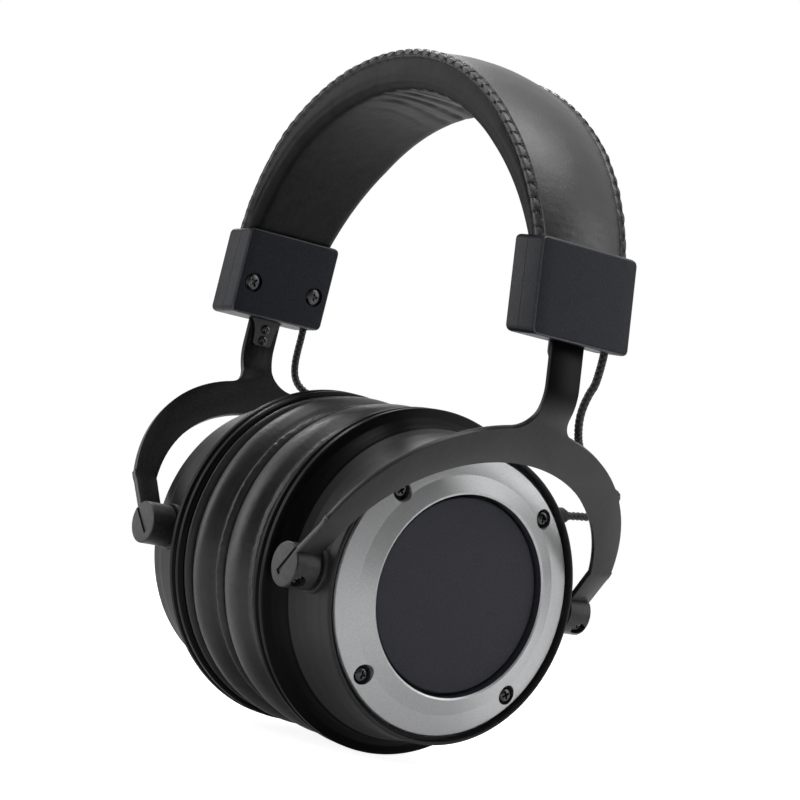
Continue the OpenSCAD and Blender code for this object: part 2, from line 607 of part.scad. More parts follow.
// ---- ear cups ----
module ear_cup(s) color(dark_grey) at_cup(s) difference() {
    union() {
        difference() {
            turned([[cup_x, 0], [cup_x, flange_r - 0.8], [cup_x + 0.4, flange_r - 0.4],
                [cup_x + 0.9, flange_r - 0.4],
                [cup_x + 1.2, flange_r], [flange_end - 0.5, flange_r], [flange_end, flange_r - 0.5],
                [flange_end + 4, drum_r + 2.2], [flange_end + 7, drum_r + 0.7], [flange_end + 11, drum_r],
                [rim_x - 5, drum_r - 0.1], [rim_x - 3.6, rim_r + 0.1], [rim_x - 0.6, rim_r],
                [rim_x, rim_r - 0.5], [rim_x, trim_outer_r + trim_gap], [plate_x, trim_outer_r + trim_gap],
                [plate_x, 0]]);
            turned([[cup_x - 1, 0], [cup_x - 1, drum_r - 0.5], [flange_end + 1, drum_r - 0.5],
                [flange_end + 7, drum_r - cup_wall + 0.4], [plate_x - plate_t, drum_r - cup_wall],
                [plate_x - plate_t, 0]]);
        }
        // bosses for the pivots
        translate([pin_x, 0, 0]) both_pins() along_y(boss_in_y, pivot_seat_y, boss_d);
        // posts for the trim ring screws
        for (a = trim_screw_a) rotate([a, 0, 0]) translate([0, trim_screw_r, 0])
            disc(plate_x - plate_t - 4, plate_x - eps, 2.6);
        // seats for the gland and the baffle screws
        for (a = trim_screw_a) rotate([a, 0, 0]) translate([0, baffle_screw_r, 0]) disc(cup_x, cup_x + 4, 2.4);
        if (s < 0) translate([jack_x, 0, 0]) rotate([-90, 0, 0]) along_y(drum_r - 4, drum_r + 1, 9);
    }
    disc(plate_x, rim_x + 1, trim_outer_r + trim_gap);
    translate([pin_x, 0, 0]) both_pins() along_y(boss_in_y - 1, pivot_seat_y + 1, journal_d + 2 * run);
    for (a = trim_screw_a) rotate([a, 0, 0]) translate([0, trim_screw_r, 0])
        disc(plate_x - plate_t - 3, plate_x + 1, 1.1);
    for (a = trim_screw_a) rotate([a, 0, 0]) translate([0, baffle_screw_r, 0]) disc(cup_x - 1, cup_x + 3, 1.1);
    gland_place() along_y(gland_end - gland_len - 2.6, gland_end + 3, gland_d + 2 * gap);
    if (s < 0) translate([jack_x, 0, 0]) rotate([-90, 0, 0]) along_y(drum_r - 6, drum_r + 2, jack_d + 2 * gap);
}
module gland_place() { translate([gland_x, 0, gland_z]) rotate([gland_rise, 0, 0]) children(); }
module cable_gland(s) color(black) at_cup(s) gland_place() {
    along_y(gland_end - gland_len, gland_end - 1.2, gland_d);
    along_y(gland_end - 1.2 - eps, gland_end, gland_d - 1.2);
}
module jack_socket(s) color(steel) at_cup(s) translate([jack_x, 0, 0]) rotate([-90, 0, 0]) difference() {
    along_y(drum_r - jack_len, drum_r + 0.6, jack_d);
    along_y(drum_r - jack_len + 1, drum_r + 2, 2 * jack_bore_r);
}
module trim_ring(s) color(silver) at_cup(s) difference() {
    turned([[plate_x, trim_inner_r], [plate_x, trim_outer_r], [trim_x - 0.4, trim_outer_r],
        [trim_x, trim_outer_r - 0.4], [trim_x + trim_rise * 0.4, trim_inner_r + 5.4],
        [trim_x + trim_rise * 0.95, trim_inner_r + 1], [trim_x + trim_rise, trim_inner_r + 0.5],
        [trim_x + trim_rise * 0.9, trim_inner_r]]);
    for (a = trim_screw_a) rotate([a, 0, 0]) translate([0, trim_screw_r, 0]) {
        disc(plate_x - 1, rim_x + 5, 1.3);
        disc(plate_x + 1.2, rim_x + 5, trim_screw_d / 2 + 0.6);
    }
}
module trim_screws(s) color(steel) at_cup(s) for (a = trim_screw_a) rotate([a, 0, 0])
    translate([plate_x + 1.2 + 1.4, trim_screw_r, 0]) mirror([1, 0, 0])
        cross_screw(trim_screw_d, 1.4, 2, plate_t + 2);
module centre_cap(s) color(black) at_cup(s) turned([[plate_x, 0], [plate_x, trim_inner_r - gap],
    [cap_face - 0.3, trim_inner_r - gap], [cap_face, trim_inner_r - gap - 0.3], [cap_face, 0]]);
module baffle(s) color(black) at_cup(s) difference() {
    turned([[flange_x, driver_d / 2 - 3], [flange_x, flange_r - 1], [flange_x + 0.5, flange_r - 0.4],
        [flange_x + 1, flange_r - 0.4], [flange_x + 1.3, flange_r - 0.1], [cup_x - 0.6, flange_r - 0.1],
        [cup_x - 0.2, flange_r - 0.6], [cup_x, flange_r - 0.8], [cup_x, driver_d / 2 + gap],
        [flange_x + 1.2, driver_d / 2 + gap], [flange_x + 1.2, driver_d / 2 - 3]]);
    for (a = trim_screw_a) rotate([a, 0, 0]) translate([0, baffle_screw_r, 0]) {
        disc(flange_x - 1, cup_x + 1, 1.3);
        disc(flange_x - 1, flange_x + 1.6, 2.2);
    }
}
module baffle_screws(s) color(steel) at_cup(s) for (a = trim_screw_a) rotate([a, 0, 0])
    translate([flange_x + 0.4, baffle_screw_r, 0]) cross_screw(3.8, 1.2, 2, cup_x - flange_x + 1);
module driver_frame(s) color(dark_grey) at_cup(s) turned([[flange_x + 1.2 + gap, driver_d / 2 - 4],
    [flange_x + 1.2 + gap, driver_d / 2], [cup_x + 1, driver_d / 2], [cup_x + 5, driver_d / 2 - 6],
    [cup_x + 5, 7.1], [cup_x + 3.6, 7.1], [cup_x + 3.6, driver_d / 2 - 7], [cup_x, driver_d / 2 - 2],
    [flange_x + 2.4, driver_d / 2 - 4]]);
module driver_magnet(s) color(steel) at_cup(s) {
    disc(cup_x + 5, cup_x + 10, magnet_r);
    disc(cup_x + 3, cup_x + 5 + eps, 7);
}
module diaphragm(s) color([0.5, 0.45, 0.35]) at_cup(s) turned([[flange_x + 2.5, 0], [flange_x + 1.6, 6],
    [flange_x + 2.3, 9], [flange_x + 1.7, driver_d / 2 - 4 - gap], [flange_x + 1.9, driver_d / 2 - 4 - gap],
    [flange_x + 2.5, 9], [flange_x + 1.8, 6], [flange_x + 2.7, 0]]);
module damping_foam(s) color(foam_grey) at_cup(s) turned([[cup_x + 10.2, 0], [cup_x + 10.2, foam_r],
    [plate_x - plate_t - 0.2, foam_r], [plate_x - plate_t - 0.2, 0]]);
module ear_pad(s) color(black) at_cup(s) turned(concat(
    [[pad_depth, pad_inner_r], [pad_depth, pad_outer_r - 0.6]],
    [for (a = [90 : -15 : -90]) [pad_x + pad_roll + pad_roll * sin(a) * 0.98,
        pad_outer_r - 3.6 + 3.6 * cos(a)]],
    [[pad_x, pad_outer_r - 4.4], [pad_x, pad_inner_r + pad_inner_roll]],
    [for (a = [-75 : 15 : 0]) [pad_x + pad_inner_roll * (1 + sin(a)),
        pad_inner_r + pad_inner_roll * (1 - cos(a))]]));
module ear_cloth(s) color(dark_grey) at_cup(s) turned([[flange_x - 0.7, 0], [flange_x - 0.7, pad_inner_r - 0.4],
    [flange_x - 0.1, pad_inner_r - 0.4], [flange_x - 0.1, 0]]);

spring_band();
pad_foam();
crown_foam();
cover_top();
cover_under();
bridge_cable();
band_rivets();
housing_outer(-1);  // housing_outer_left
housing_outer(1);  // housing_outer_right
housing_inner(-1);  // housing_inner_left
housing_inner(1);  // housing_inner_right
housing_screws(-1);  // housing_screws_left
housing_screws(1);  // housing_screws_right
slider_guide(-1);  // slider_guide_left
slider_guide(1);  // slider_guide_right
detent_spring(-1);  // detent_spring_left
detent_spring(1);  // detent_spring_right
fork(-1);  // fork_left
fork(1);  // fork_right
slider_strip(-1);  // slider_strip_left
slider_strip(1);  // slider_strip_right
stem_screws(-1);  // stem_screws_left
stem_screws(1);  // stem_screws_right
pivot_blocks(-1);  // pivot_blocks_left
pivot_blocks(1);  // pivot_blocks_right
clamp_screws(-1);  // clamp_screws_left
clamp_screws(1);  // clamp_screws_right
pivot_clips(-1);  // pivot_clips_left
pivot_clips(1);  // pivot_clips_right
link_cable(-1);  // link_cable_left
link_cable(1);  // link_cable_right
ear_cup(-1);  // ear_cup_left
ear_cup(1);  // ear_cup_right
trim_ring(-1);  // trim_ring_left
trim_ring(1);  // trim_ring_right
trim_screws(-1);  // trim_screws_left
trim_screws(1);  // trim_screws_right
centre_cap(-1);  // centre_cap_left
centre_cap(1);  // centre_cap_right
baffle(-1);  // baffle_left
baffle(1);  // baffle_right
baffle_screws(-1);  // baffle_screws_left
baffle_screws(1);  // baffle_screws_right
driver_frame(-1);  // driver_frame_left
driver_frame(1);  // driver_frame_right
driver_magnet(-1);  // driver_magnet_left
driver_magnet(1);  // driver_magnet_right
diaphragm(-1);  // diaphragm_left
diaphragm(1);  // diaphragm_right
damping_foam(-1);  // damping_foam_left
damping_foam(1);  // damping_foam_right
ear_pad(-1);  // ear_pad_left
ear_pad(1);  // ear_pad_right
ear_cloth(-1);  // ear_cloth_left
ear_cloth(1);  // ear_cloth_right
cable_gland(-1);  // cable_gland_left
cable_gland(1);  // cable_gland_right
jack_socket(-1);  // jack_socket_left
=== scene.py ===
import math

import bmesh
import bpy
import numpy as np
from mathutils import Matrix, Vector, noise


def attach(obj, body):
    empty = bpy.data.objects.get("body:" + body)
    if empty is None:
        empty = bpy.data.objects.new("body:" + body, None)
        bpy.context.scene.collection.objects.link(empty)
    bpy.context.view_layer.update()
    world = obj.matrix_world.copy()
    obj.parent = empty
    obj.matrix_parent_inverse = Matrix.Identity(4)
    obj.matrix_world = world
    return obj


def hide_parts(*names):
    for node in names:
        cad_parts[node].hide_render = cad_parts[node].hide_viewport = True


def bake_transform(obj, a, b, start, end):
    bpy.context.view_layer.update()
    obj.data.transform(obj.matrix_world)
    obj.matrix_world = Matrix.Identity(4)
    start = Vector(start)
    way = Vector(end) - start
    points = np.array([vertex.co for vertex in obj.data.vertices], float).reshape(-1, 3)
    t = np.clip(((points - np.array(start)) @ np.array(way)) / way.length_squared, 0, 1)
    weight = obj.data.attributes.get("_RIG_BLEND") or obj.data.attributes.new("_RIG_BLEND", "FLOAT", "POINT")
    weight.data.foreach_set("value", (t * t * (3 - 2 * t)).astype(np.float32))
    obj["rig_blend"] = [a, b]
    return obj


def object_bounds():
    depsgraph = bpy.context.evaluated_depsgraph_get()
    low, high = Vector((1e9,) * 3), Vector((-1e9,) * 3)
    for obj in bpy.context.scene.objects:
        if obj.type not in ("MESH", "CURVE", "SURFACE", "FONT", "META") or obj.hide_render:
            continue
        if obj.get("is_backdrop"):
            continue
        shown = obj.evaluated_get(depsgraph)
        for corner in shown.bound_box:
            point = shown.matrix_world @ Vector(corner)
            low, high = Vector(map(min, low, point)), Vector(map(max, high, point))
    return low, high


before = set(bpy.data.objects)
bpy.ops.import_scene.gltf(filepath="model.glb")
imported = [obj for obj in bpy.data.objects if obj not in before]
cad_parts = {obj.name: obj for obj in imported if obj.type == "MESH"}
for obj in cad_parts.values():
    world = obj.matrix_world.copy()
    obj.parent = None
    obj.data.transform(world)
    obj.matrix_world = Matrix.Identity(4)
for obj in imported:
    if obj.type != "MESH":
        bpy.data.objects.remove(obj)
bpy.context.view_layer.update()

mm = 0.001
print("frame loaded,", len(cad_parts), "solids' nodes")

# the layout shared by all pieces, in millimetres
layout = {
    "extension": {1: 2.7, -1: -0.6},  # how far each fork is drawn out
    "slideHalfSpan": 74.2,
    "slideLean": 6.1,
    "housingZ": -69.7,
    "pinX": 38.0,
    "cupZ": -138.5,
}
sideNames = {1: "right", -1: "left"}
lean = math.radians(layout["slideLean"])


def forkShift(s):
    e = layout["extension"][s]
    return Vector((e * s * math.sin(lean), 0, -e * math.cos(lean)))


pins = {s: Vector((s * layout["pinX"], 0, layout["cupZ"])) + forkShift(s) for s in (1, -1)}
cupAxis = (pins[1] - pins[-1]).normalized()


def framed(out, up, origin):
    m = Matrix.Identity(4)
    for row in range(3):
        m[row][0], m[row][1], m[row][2], m[row][3] = out[row], (0, 1, 0)[row], up[row], origin[row]
    return m


def cupFrame(s):
    a = cupAxis * s
    up = Vector((-a.z * s, 0, a.x * s))
    return framed(a, up, pins[s] - a * layout["pinX"])


def housingFrame(s, drop=0.0):
    out = Vector((s * math.cos(lean), 0, math.sin(lean)))
    up = Vector((-s * math.sin(lean), 0, math.cos(lean)))
    return framed(out, up, Vector((s * layout["slideHalfSpan"], 0, layout["housingZ"])) - up * drop)


def pinFrame(s):
    return framed(Vector((s, 0, 0)), Vector((0, 0, 1)), pins[s])


# camera
cameraSettings = {
    "place": (598.471, -436.011, -127.884),
    "forward": (-0.805045, 0.590877, 0.0526),
    "up": (-0.066963, -0.178621, 0.981637),
    "lens": 113.272,
}


def makeCamera(c):
    data = bpy.data.cameras.new("camera")
    data.lens, data.sensor_width = c["lens"], 36
    data.clip_start, data.clip_end = 0.01, 100
    camera = bpy.data.objects.new("camera", data)
    bpy.context.collection.objects.link(camera)
    forward = Vector(c["forward"]).normalized()
    up = Vector(c["up"]).normalized()
    right = forward.cross(up).normalized()
    m = Matrix.Identity(4)
    for row in range(3):
        m[row][0], m[row][1], m[row][2] = right[row], up[row], -forward[row]
        m[row][3] = c["place"][row] * mm
    camera.matrix_world = m
    bpy.context.scene.camera = camera


makeCamera(cameraSettings)


# finishes
def feed(tree, node, inputs):
    # a socket is linked to the input, and anything else is its value
    for key, value in inputs.items():
        if hasattr(value, "is_linked"):
            tree.links.new(value, node.inputs[key])
        else:
            node.inputs[key].default_value = value
    return node


def addNode(tree, kind, inputs=None, **settings):
    node = tree.nodes.new(kind)
    for name, value in settings.items():
        setattr(node, name, value)
    return feed(tree, node, inputs or {})


def textured(tree, kind, where, scale, stretch, detail=3.0, rough=0.55):
    at = addNode(tree, "ShaderNodeMapping", {"Vector": where, "Scale": stretch}).outputs["Vector"]
    if kind == "across":
        return addNode(tree, "ShaderNodeSeparateXYZ", {0: at}).outputs["X"]
    inputs = {"Vector": at, "Scale": scale}
    if kind == "cells":
        return addNode(tree, "ShaderNodeTexVoronoi", inputs, feature="DISTANCE_TO_EDGE").outputs["Distance"]
    if kind == "wave":
        bands = {"wave_type": "BANDS", "bands_direction": "DIAGONAL"}
        return addNode(tree, "ShaderNodeTexWave", inputs, **bands).outputs["Fac"]
    inputs.update({"Detail": detail, "Roughness": rough})
    return addNode(tree, "ShaderNodeTexNoise", inputs).outputs["Fac"]


def blended(tree, amount, first, second):
    return addNode(tree, "ShaderNodeMix", {0: amount, 6: first, 7: second}, data_type="RGBA").outputs[2]


def ranged(tree, value, **ends):
    inputs = {"Value": value, **{label.replace("_", " "): end for label, end in ends.items()}}
    return addNode(tree, "ShaderNodeMapRange", inputs).outputs["Result"]


def makeFinish(name, f):
    mat = bpy.data.materials.new(name)
    mat.use_nodes = True
    tree = mat.node_tree
    coords = addNode(tree, "ShaderNodeTexCoord").outputs[f.get("coords", "Object")]
    stretch = f.get("stretch", (1, 1, 1))
    surface = {"Metallic": f.get("metallic", 0.0), "Specular IOR Level": f.get("specular", 0.4),
        "Sheen Weight": f.get("sheen", 0.0)}
    # colour drifts between two tones
    kind, scale, low, high = f["drift"]
    drift = textured(tree, kind, coords, scale, stretch, 4.0, 0.6)
    dark, light = ((*tone, 1) for tone in f["tones"])
    colour = blended(tree, ranged(tree, drift, From_Min=low, From_Max=high), dark, light)
    if "shaded" in f:
        # a vertex attribute paints shade: it blackens the colour and dulls the shine
        amount = addNode(tree, "ShaderNodeAttribute", attribute_name=f["shaded"]).outputs["Fac"]
        colour = blended(tree, amount, colour, (*f["shadedTone"], 1))
        start, end = f["specular"], f["shadedSpecular"]
        surface["Specular IOR Level"] = ranged(tree, amount, To_Min=start, To_Max=end)
    surface["Base Color"] = colour
    # gloss drifts too, in larger patches
    gloss = textured(tree, "noise", coords, f.get("glossScale", scale * 0.4), stretch)
    surface["Roughness"] = ranged(tree, gloss, To_Min=f["rough"][0], To_Max=f["rough"][1])
    for kind, scale, strength, depth in f.get("bumps", []):
        height = textured(tree, kind, coords, scale, f.get("bumpStretch", stretch))
        bump = {"Strength": strength, "Distance": depth * mm, "Height": height}
        if "Normal" in surface:
            bump["Normal"] = surface["Normal"]
        surface["Normal"] = addNode(tree, "ShaderNodeBump", bump).outputs["Normal"]
    feed(tree, tree.nodes["Principled BSDF"], surface)
    return mat


bandGrain = [("noise", 130, 0.25, 0.3), ("noise", 620, 0.3, 0.2), ("cells", 1500, 0.4, 0.1)]
# a drift has a kind, a scale and the range that runs from tone to tone; a bump has a kind, a scale,
# a strength and a depth in millimetres
finishSettings = {
    "bandLeather": {"tones": [(0.006, 0.006, 0.007), (0.0115, 0.0115, 0.013)],
        "drift": ("noise", 240, 0.3, 0.7), "rough": (0.34, 0.44), "specular": 0.5, "bumps": bandGrain},
    "sideLeather": {"tones": [(0.006, 0.0059, 0.006), (0.0115, 0.0113, 0.0116)],
        "drift": ("noise", 240, 0.3, 0.7), "rough": (0.36, 0.46), "specular": 0.1, "bumps": bandGrain},
    "padLeather": {"tones": [(0.008, 0.0078, 0.0074), (0.016, 0.0155, 0.0148)],
        "drift": ("noise", 200, 0.3, 0.7), "rough": (0.36, 0.46), "specular": 0.36,
        "bumps": [("noise", 420, 0.25, 0.25), ("cells", 1700, 0.4, 0.1), ("noise", 3600, 0.3, 0.05)]},
    "seamLeather": {"tones": [(0.008, 0.008, 0.0085), (0.02, 0.02, 0.0215)],
        "drift": ("noise", 700, 0.35, 0.65), "rough": (0.3, 0.42), "specular": 0.36,
        "bumps": [("noise", 1400, 0.4, 0.1)]},
    "seamThread": {"tones": [(0.004, 0.004, 0.004), (0.016, 0.016, 0.017)],
        "drift": ("noise", 2600, 0.4, 0.6), "rough": (0.5, 0.7), "specular": 0.25,
        "bumps": [("wave", 1900, 0.5, 0.06)]},
    "housingPlastic": {"tones": [(0.0022, 0.0026, 0.005), (0.0125, 0.0138, 0.021)],
        "drift": ("noise", 2600, 0.35, 0.65), "rough": (0.34, 0.44), "specular": 0.13, "glossScale": 500,
        "bumps": [("noise", 1900, 0.35, 0.09), ("noise", 4200, 0.3, 0.05)]},
    # painted highlight: a lighter copy of the housing finish, for its rounded edges
    "housingEdgeHighlight": {"tones": [(0.03, 0.031, 0.036), (0.075, 0.077, 0.085)],
        "drift": ("noise", 2600, 0.35, 0.65), "rough": (0.3, 0.4), "specular": 0.3,
        "bumps": [("noise", 1900, 0.3, 0.05)]},
    "drumPlastic": {"tones": [(0.018, 0.018, 0.0185), (0.026, 0.026, 0.0265)],
        "drift": ("noise", 2600, 0.3, 0.7), "rough": (0.42, 0.5), "specular": 0.2, "glossScale": 900,
        "bumps": [("noise", 3000, 0.22, 0.04)]},
    "cupPlastic": {"tones": [(0.0015, 0.0015, 0.0018), (0.0045, 0.0045, 0.005)],
        "drift": ("noise", 1800, 0.3, 0.7), "rough": (0.32, 0.4), "specular": 0.06, "glossScale": 2000,
        "bumps": [("noise", 2300, 0.22, 0.05)]},
    "forkAluminium": {"tones": [(0.01, 0.01, 0.011), (0.024, 0.0235, 0.026)],
        "drift": ("noise", 900, 0.1, 0.9), "stretch": (0.5, 1, 0.02), "rough": (0.34, 0.4),
        "specular": 0.34, "glossScale": 3,
        # painted shade on the stem: a darker colour and duller shine above the bend
        "shaded": "paintedStemShade", "shadedTone": (0.0015, 0.0015, 0.0018), "shadedSpecular": 0.07,
        "bumpStretch": (1, 1, 0.01), "bumps": [("noise", 2600, 0.1, 0.02)]},
    # painted shade: a darker copy of the fork finish, for its inner faces
    "forkShadedInside": {"tones": [(0.0015, 0.0015, 0.0018), (0.012, 0.012, 0.013)],
        "drift": ("noise", 2300, 0.36, 0.68), "stretch": (1, 1, 0.008), "rough": (0.3, 0.42),
        "specular": 0.07, "bumps": [("noise", 2600, 0.2, 0.03)]},
    "pivotMetal": {"tones": [(0.012, 0.012, 0.0125), (0.028, 0.027, 0.029)],
        "drift": ("noise", 900, 0.3, 0.7), "rough": (0.34, 0.48), "specular": 0.3, "metallic": 0.1,
        "bumps": [("noise", 2400, 0.25, 0.04)]},
    "silverPaint": {"tones": [(0.35, 0.352, 0.356), (0.45, 0.453, 0.46)],
        "drift": ("noise", 3600, 0.36, 0.64), "rough": (0.34, 0.42), "metallic": 0.9, "specular": 0.5,
        "glossScale": 3000, "bumps": [("noise", 4200, 0.25, 0.03)]},
    "capPlastic": {"tones": [(0.028, 0.0285, 0.036), (0.042, 0.0425, 0.052)],
        "drift": ("noise", 3000, 0.35, 0.65), "rough": (0.55, 0.7), "specular": 0.14,
        "bumps": [("noise", 3400, 0.3, 0.05)]},
    "screwBlack": {"tones": [(0.0015, 0.0015, 0.002), (0.005, 0.005, 0.0055)],
        "drift": ("noise", 1500, 0.35, 0.65), "rough": (0.14, 0.26), "specular": 0.7, "metallic": 0.1,
        "bumps": [("noise", 2600, 0.3, 0.04)]},
    # the braid's colour follows the weave's height: painted shade in the hollows and painted highlight on the
    # crests
    "braid": {"tones": [(0.0015, 0.0015, 0.0018), (0.03, 0.03, 0.033)],
        "drift": ("across", 1, 0.12, 0.85), "coords": "UV", "rough": (0.4, 0.55), "specular": 0.3,
        "glossScale": 8},
    "rubber": {"tones": [(0.002, 0.002, 0.002), (0.006, 0.006, 0.006)],
        "drift": ("noise", 1200, 0.3, 0.7), "rough": (0.5, 0.65), "specular": 0.3,
        "bumps": [("noise", 2400, 0.25, 0.05)]},
    "foamGrey": {"tones": [(0.03, 0.03, 0.032), (0.1, 0.1, 0.105)], "drift": ("cells", 1400, 0.0, 0.4),
        "rough": (0.8, 0.95), "specular": 0.2, "bumps": [("cells", 1400, 0.8, 0.3)]},
    "springSteel": {"tones": [(0.42, 0.42, 0.43), (0.62, 0.62, 0.63)],
        "drift": ("noise", 1500, 0.3, 0.7), "stretch": (1, 0.03, 1), "rough": (0.25, 0.4),
        "metallic": 1.0, "bumps": [("noise", 1500, 0.25, 0.03)]},
    "clearFilm": {"tones": [(0.42, 0.37, 0.28), (0.56, 0.5, 0.38)], "drift": ("noise", 500, 0.3, 0.7),
        "rough": (0.2, 0.3), "specular": 0.5, "bumps": [("noise", 600, 0.2, 0.05)]},
    "padCloth": {"tones": [(0.02, 0.02, 0.022), (0.07, 0.07, 0.075)],
        "drift": ("cells", 1600, 0.05, 0.3), "rough": (0.7, 0.85), "specular": 0.2, "sheen": 0.2,
        "bumps": [("cells", 1600, 0.6, 0.15)]},
}
finishes = {name: makeFinish(name, f) for name, f in finishSettings.items()}
print("finishes made:", len(finishes))


# mesh helpers
def shaded(mesh, angle=32.0):
    mesh.shade_smooth()
    mesh.set_sharp_from_angle(angle=math.radians(angle))


def turnedOut(mesh):
    # all faces look outwards
    bm = bmesh.new()
    bm.from_mesh(mesh)
    bmesh.ops.recalc_face_normals(bm, faces=bm.faces)
    bm.to_mesh(mesh)
    bm.free()


def makePiece(name, verts, faces, finish, place=None, angle=32.0, uvs=None):
    mesh = bpy.data.meshes.new(name)
    mesh.from_pydata([tuple(v) for v in verts], [], faces)
    if uvs is not None:
        layer = mesh.uv_layers.new(name="along")
        index = np.zeros(len(mesh.loops), np.int32)
        mesh.loops.foreach_get("vertex_index", index)
        layer.data.foreach_set("uv", np.asarray(uvs, np.float32)[index].ravel())
    if place is not None:
        mesh.transform(place)
    mesh.transform(Matrix.Scale(mm, 4))
    turnedOut(mesh)
    shaded(mesh, angle)
    return wrapMesh(name, mesh, finish)


def wrapMesh(name, mesh, finish):
    mesh.materials.clear()
    mesh.materials.append(finishes[finish])
    obj = bpy.data.objects.new(name, mesh)
    bpy.context.collection.objects.link(obj)
    return obj


def applied(obj):
    # its modifiers are worked into the mesh
    graph = bpy.context.evaluated_depsgraph_get()
    graph.update()
    mesh = bpy.data.meshes.new_from_object(obj.evaluated_get(graph))
    obj.modifiers.clear()
    obj.data = mesh
    return obj


def carve(obj, cutters, angle=32.0):
    for cutter in cutters:
        mod = obj.modifiers.new("cut", "BOOLEAN")
        mod.operation, mod.solver, mod.object = "DIFFERENCE", "EXACT", cutter
    applied(obj)
    for cutter in cutters:
        bpy.data.objects.remove(cutter)
    shaded(obj.data, angle)
    return obj


nearlyStraight = 1.54


def filleted(points, steps=4, closed=True):
    # each corner is rounded by the point's third value
    out = []
    n = len(points)
    for i, p in enumerate(points):
        if not closed and i in (0, n - 1):
            out.append(p[:2])
            continue
        a, b, c = (np.array(points[(i + k) % n][:2], float) for k in (-1, 0, 1))
        u, v = a - b, c - b
        lu, lv = np.linalg.norm(u), np.linalg.norm(v)
        u, v = u / lu, v / lv
        half = math.acos(max(-1, min(1, float(u @ v)))) / 2
        if p[2] <= 0 or half > nearlyStraight:
            out.append(tuple(b))
            continue
        # two roundings never meet on the line between them
        reach = min(p[2] / math.tan(half), 0.48 * lu, 0.48 * lv)
        for k in range(steps + 1):
            t = k / steps
            out.append(tuple((1 - t) ** 2 * (b + u * reach) + 2 * t * (1 - t) * b + t * t * (b + v * reach)))
    return out


def turned(name, profile, finish, place, steps=192, closed=True, angle=32.0):
    # the profile's points are distances along the axis and radii
    rings, verts, faces = [], [], []
    for x, r in profile:
        if r < 1e-6:
            rings.append([len(verts)])
            verts.append((x, 0, 0))
        else:
            rings.append(list(range(len(verts), len(verts) + steps)))
            verts += [(x, r * math.cos(2 * math.pi * k / steps), r * math.sin(2 * math.pi * k / steps))
                for k in range(steps)]
    pairs = list(zip(rings, rings[1:])) + ([(rings[-1], rings[0])] if closed else [])
    for a, b in pairs:
        if len(a) == 1 and len(b) == 1:
            continue
        for k in range(steps):
            j = (k + 1) % steps
            if len(a) == 1:
                faces.append((a[0], b[k], b[j]))
            elif len(b) == 1:
                faces.append((a[k], a[j], b[0]))
            else:
                faces.append((a[k], a[j], b[j], b[k]))
    return makePiece(name, verts, faces, finish, place, angle=angle)


def gridFaces(rows, cols):
    # closed rings, one after another, with a cap at each end
    faces = []
    for i in range(rows - 1):
        for j in range(cols):
            k = (j + 1) % cols
            faces.append((i * cols + j, i * cols + k, (i + 1) * cols + k, (i + 1) * cols + j))
    return faces + [tuple(range(cols)), tuple(range((rows - 1) * cols, rows * cols))]


def rod(x0, x1, r, place, at=(0, 0), steps=48, flare=None):
    # a round cutter, which can widen to the flare's radius
    ends = [(x0, 0), (x0, r), (x1, r)] + ([flare] if flare else []) + [(flare[0] if flare else x1, 0)]
    move = Matrix.Translation((0, at[0], at[1]))
    return turned("cutter", ends, "screwBlack", place @ move, steps, closed=False)


def slab(lo, hi, place):
    verts = [(x, y, z) for x in (lo[0], hi[0]) for y in (lo[1], hi[1]) for z in (lo[2], hi[2])]
    faces = [(0, 1, 3, 2), (4, 6, 7, 5), (0, 4, 5, 1), (2, 3, 7, 6), (0, 2, 6, 4), (1, 5, 7, 3)]
    return makePiece("cutter", verts, faces, "screwBlack", place)


def paintFaces(obj, finish, wanted):
    # the faces that pass the test get a second finish
    obj.data.materials.append(finishes[finish])
    for face in obj.data.polygons:
        if wanted(face):
            face.material_index = 1


def mounted(obj, body, slot, *nodes):
    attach(obj, body)
    if nodes:
        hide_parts(*nodes)
    return obj


# link cables
cable = {
    "diameter": 2.3, "around": 30, "fine": 6, "spacing": 0.26, "smoothing": 6,
    "inside": (17, 10, 4), "linkY": 14.4, "glandX": 41.5, "glandZ": 22.3, "glandRise": 8, "glandEnd": 37.9,
    # the braid's strands: their height, how deep they start, how fast they wind and how round they are
    "strand": 0.24, "sunk": 0.16, "winding": 1.9, "round": 0.7,
    # between these two points the cord goes over from the fork's motion to the cup's
    "hangFrom": (62, 22, -92), "hangTo": (41.5, 44, 34),
}
# the upper points follow the fork, and the lower ones are in the cup's frame
cableUpper = {
    1: [(72.6, 14.4, -74.1), (70.6, 14.5, -77.5), (68.9, 14.7, -80.8), (67.4, 15.4, -84.2),
        (65.2, 17.6, -88), (61.6, 22, -91.7), (58.4, 28.2, -95.1), (55.4, 35, -98.3), (52.2, 41.6, -100.6)],
    -1: [(74.4, 14.4, -72.4), (74.9, 14.4, -76.6), (75, 14.4, -80.4), (74.3, 14.5, -83.8),
        (72.6, 14.9, -86.6), (69.8, 15.8, -88.7), (66.2, 17.8, -90.5), (62.2, 21, -92.5),
        (58.1, 25.8, -95), (54.3, 31.4, -97.4), (51.2, 37, -99.1), (49.2, 42, -100.4)],
}
cableLower = [(50.2, 46.4, 37.1), (49, 48.8, 36), (47, 49.9, 34), (44.8, 49.9, 31.8), (42.8, 48.8, 29.8),
    (41.6, 46.7, 28.7)]


def smoothLine(points, fine):
    # a curve through all the points
    p = [np.array(q, float) for q in points]
    out = []
    for k in range(len(p) - 1):
        a, b, c, d = p[max(k - 1, 0)], p[k], p[k + 1], p[min(k + 2, len(p) - 1)]
        for j in range(fine):
            t = j / fine
            out.append(0.5 * (2 * b + (c - a) * t + (2 * a - 5 * b + 4 * c - d) * t * t
                + (3 * b - a - 3 * c + d) * t ** 3))
    return np.array(out + [p[-1]])


def glandPoint(u):
    rise = math.radians(cable["glandRise"])
    return (cable["glandX"], u * math.cos(rise), cable["glandZ"] + u * math.sin(rise))


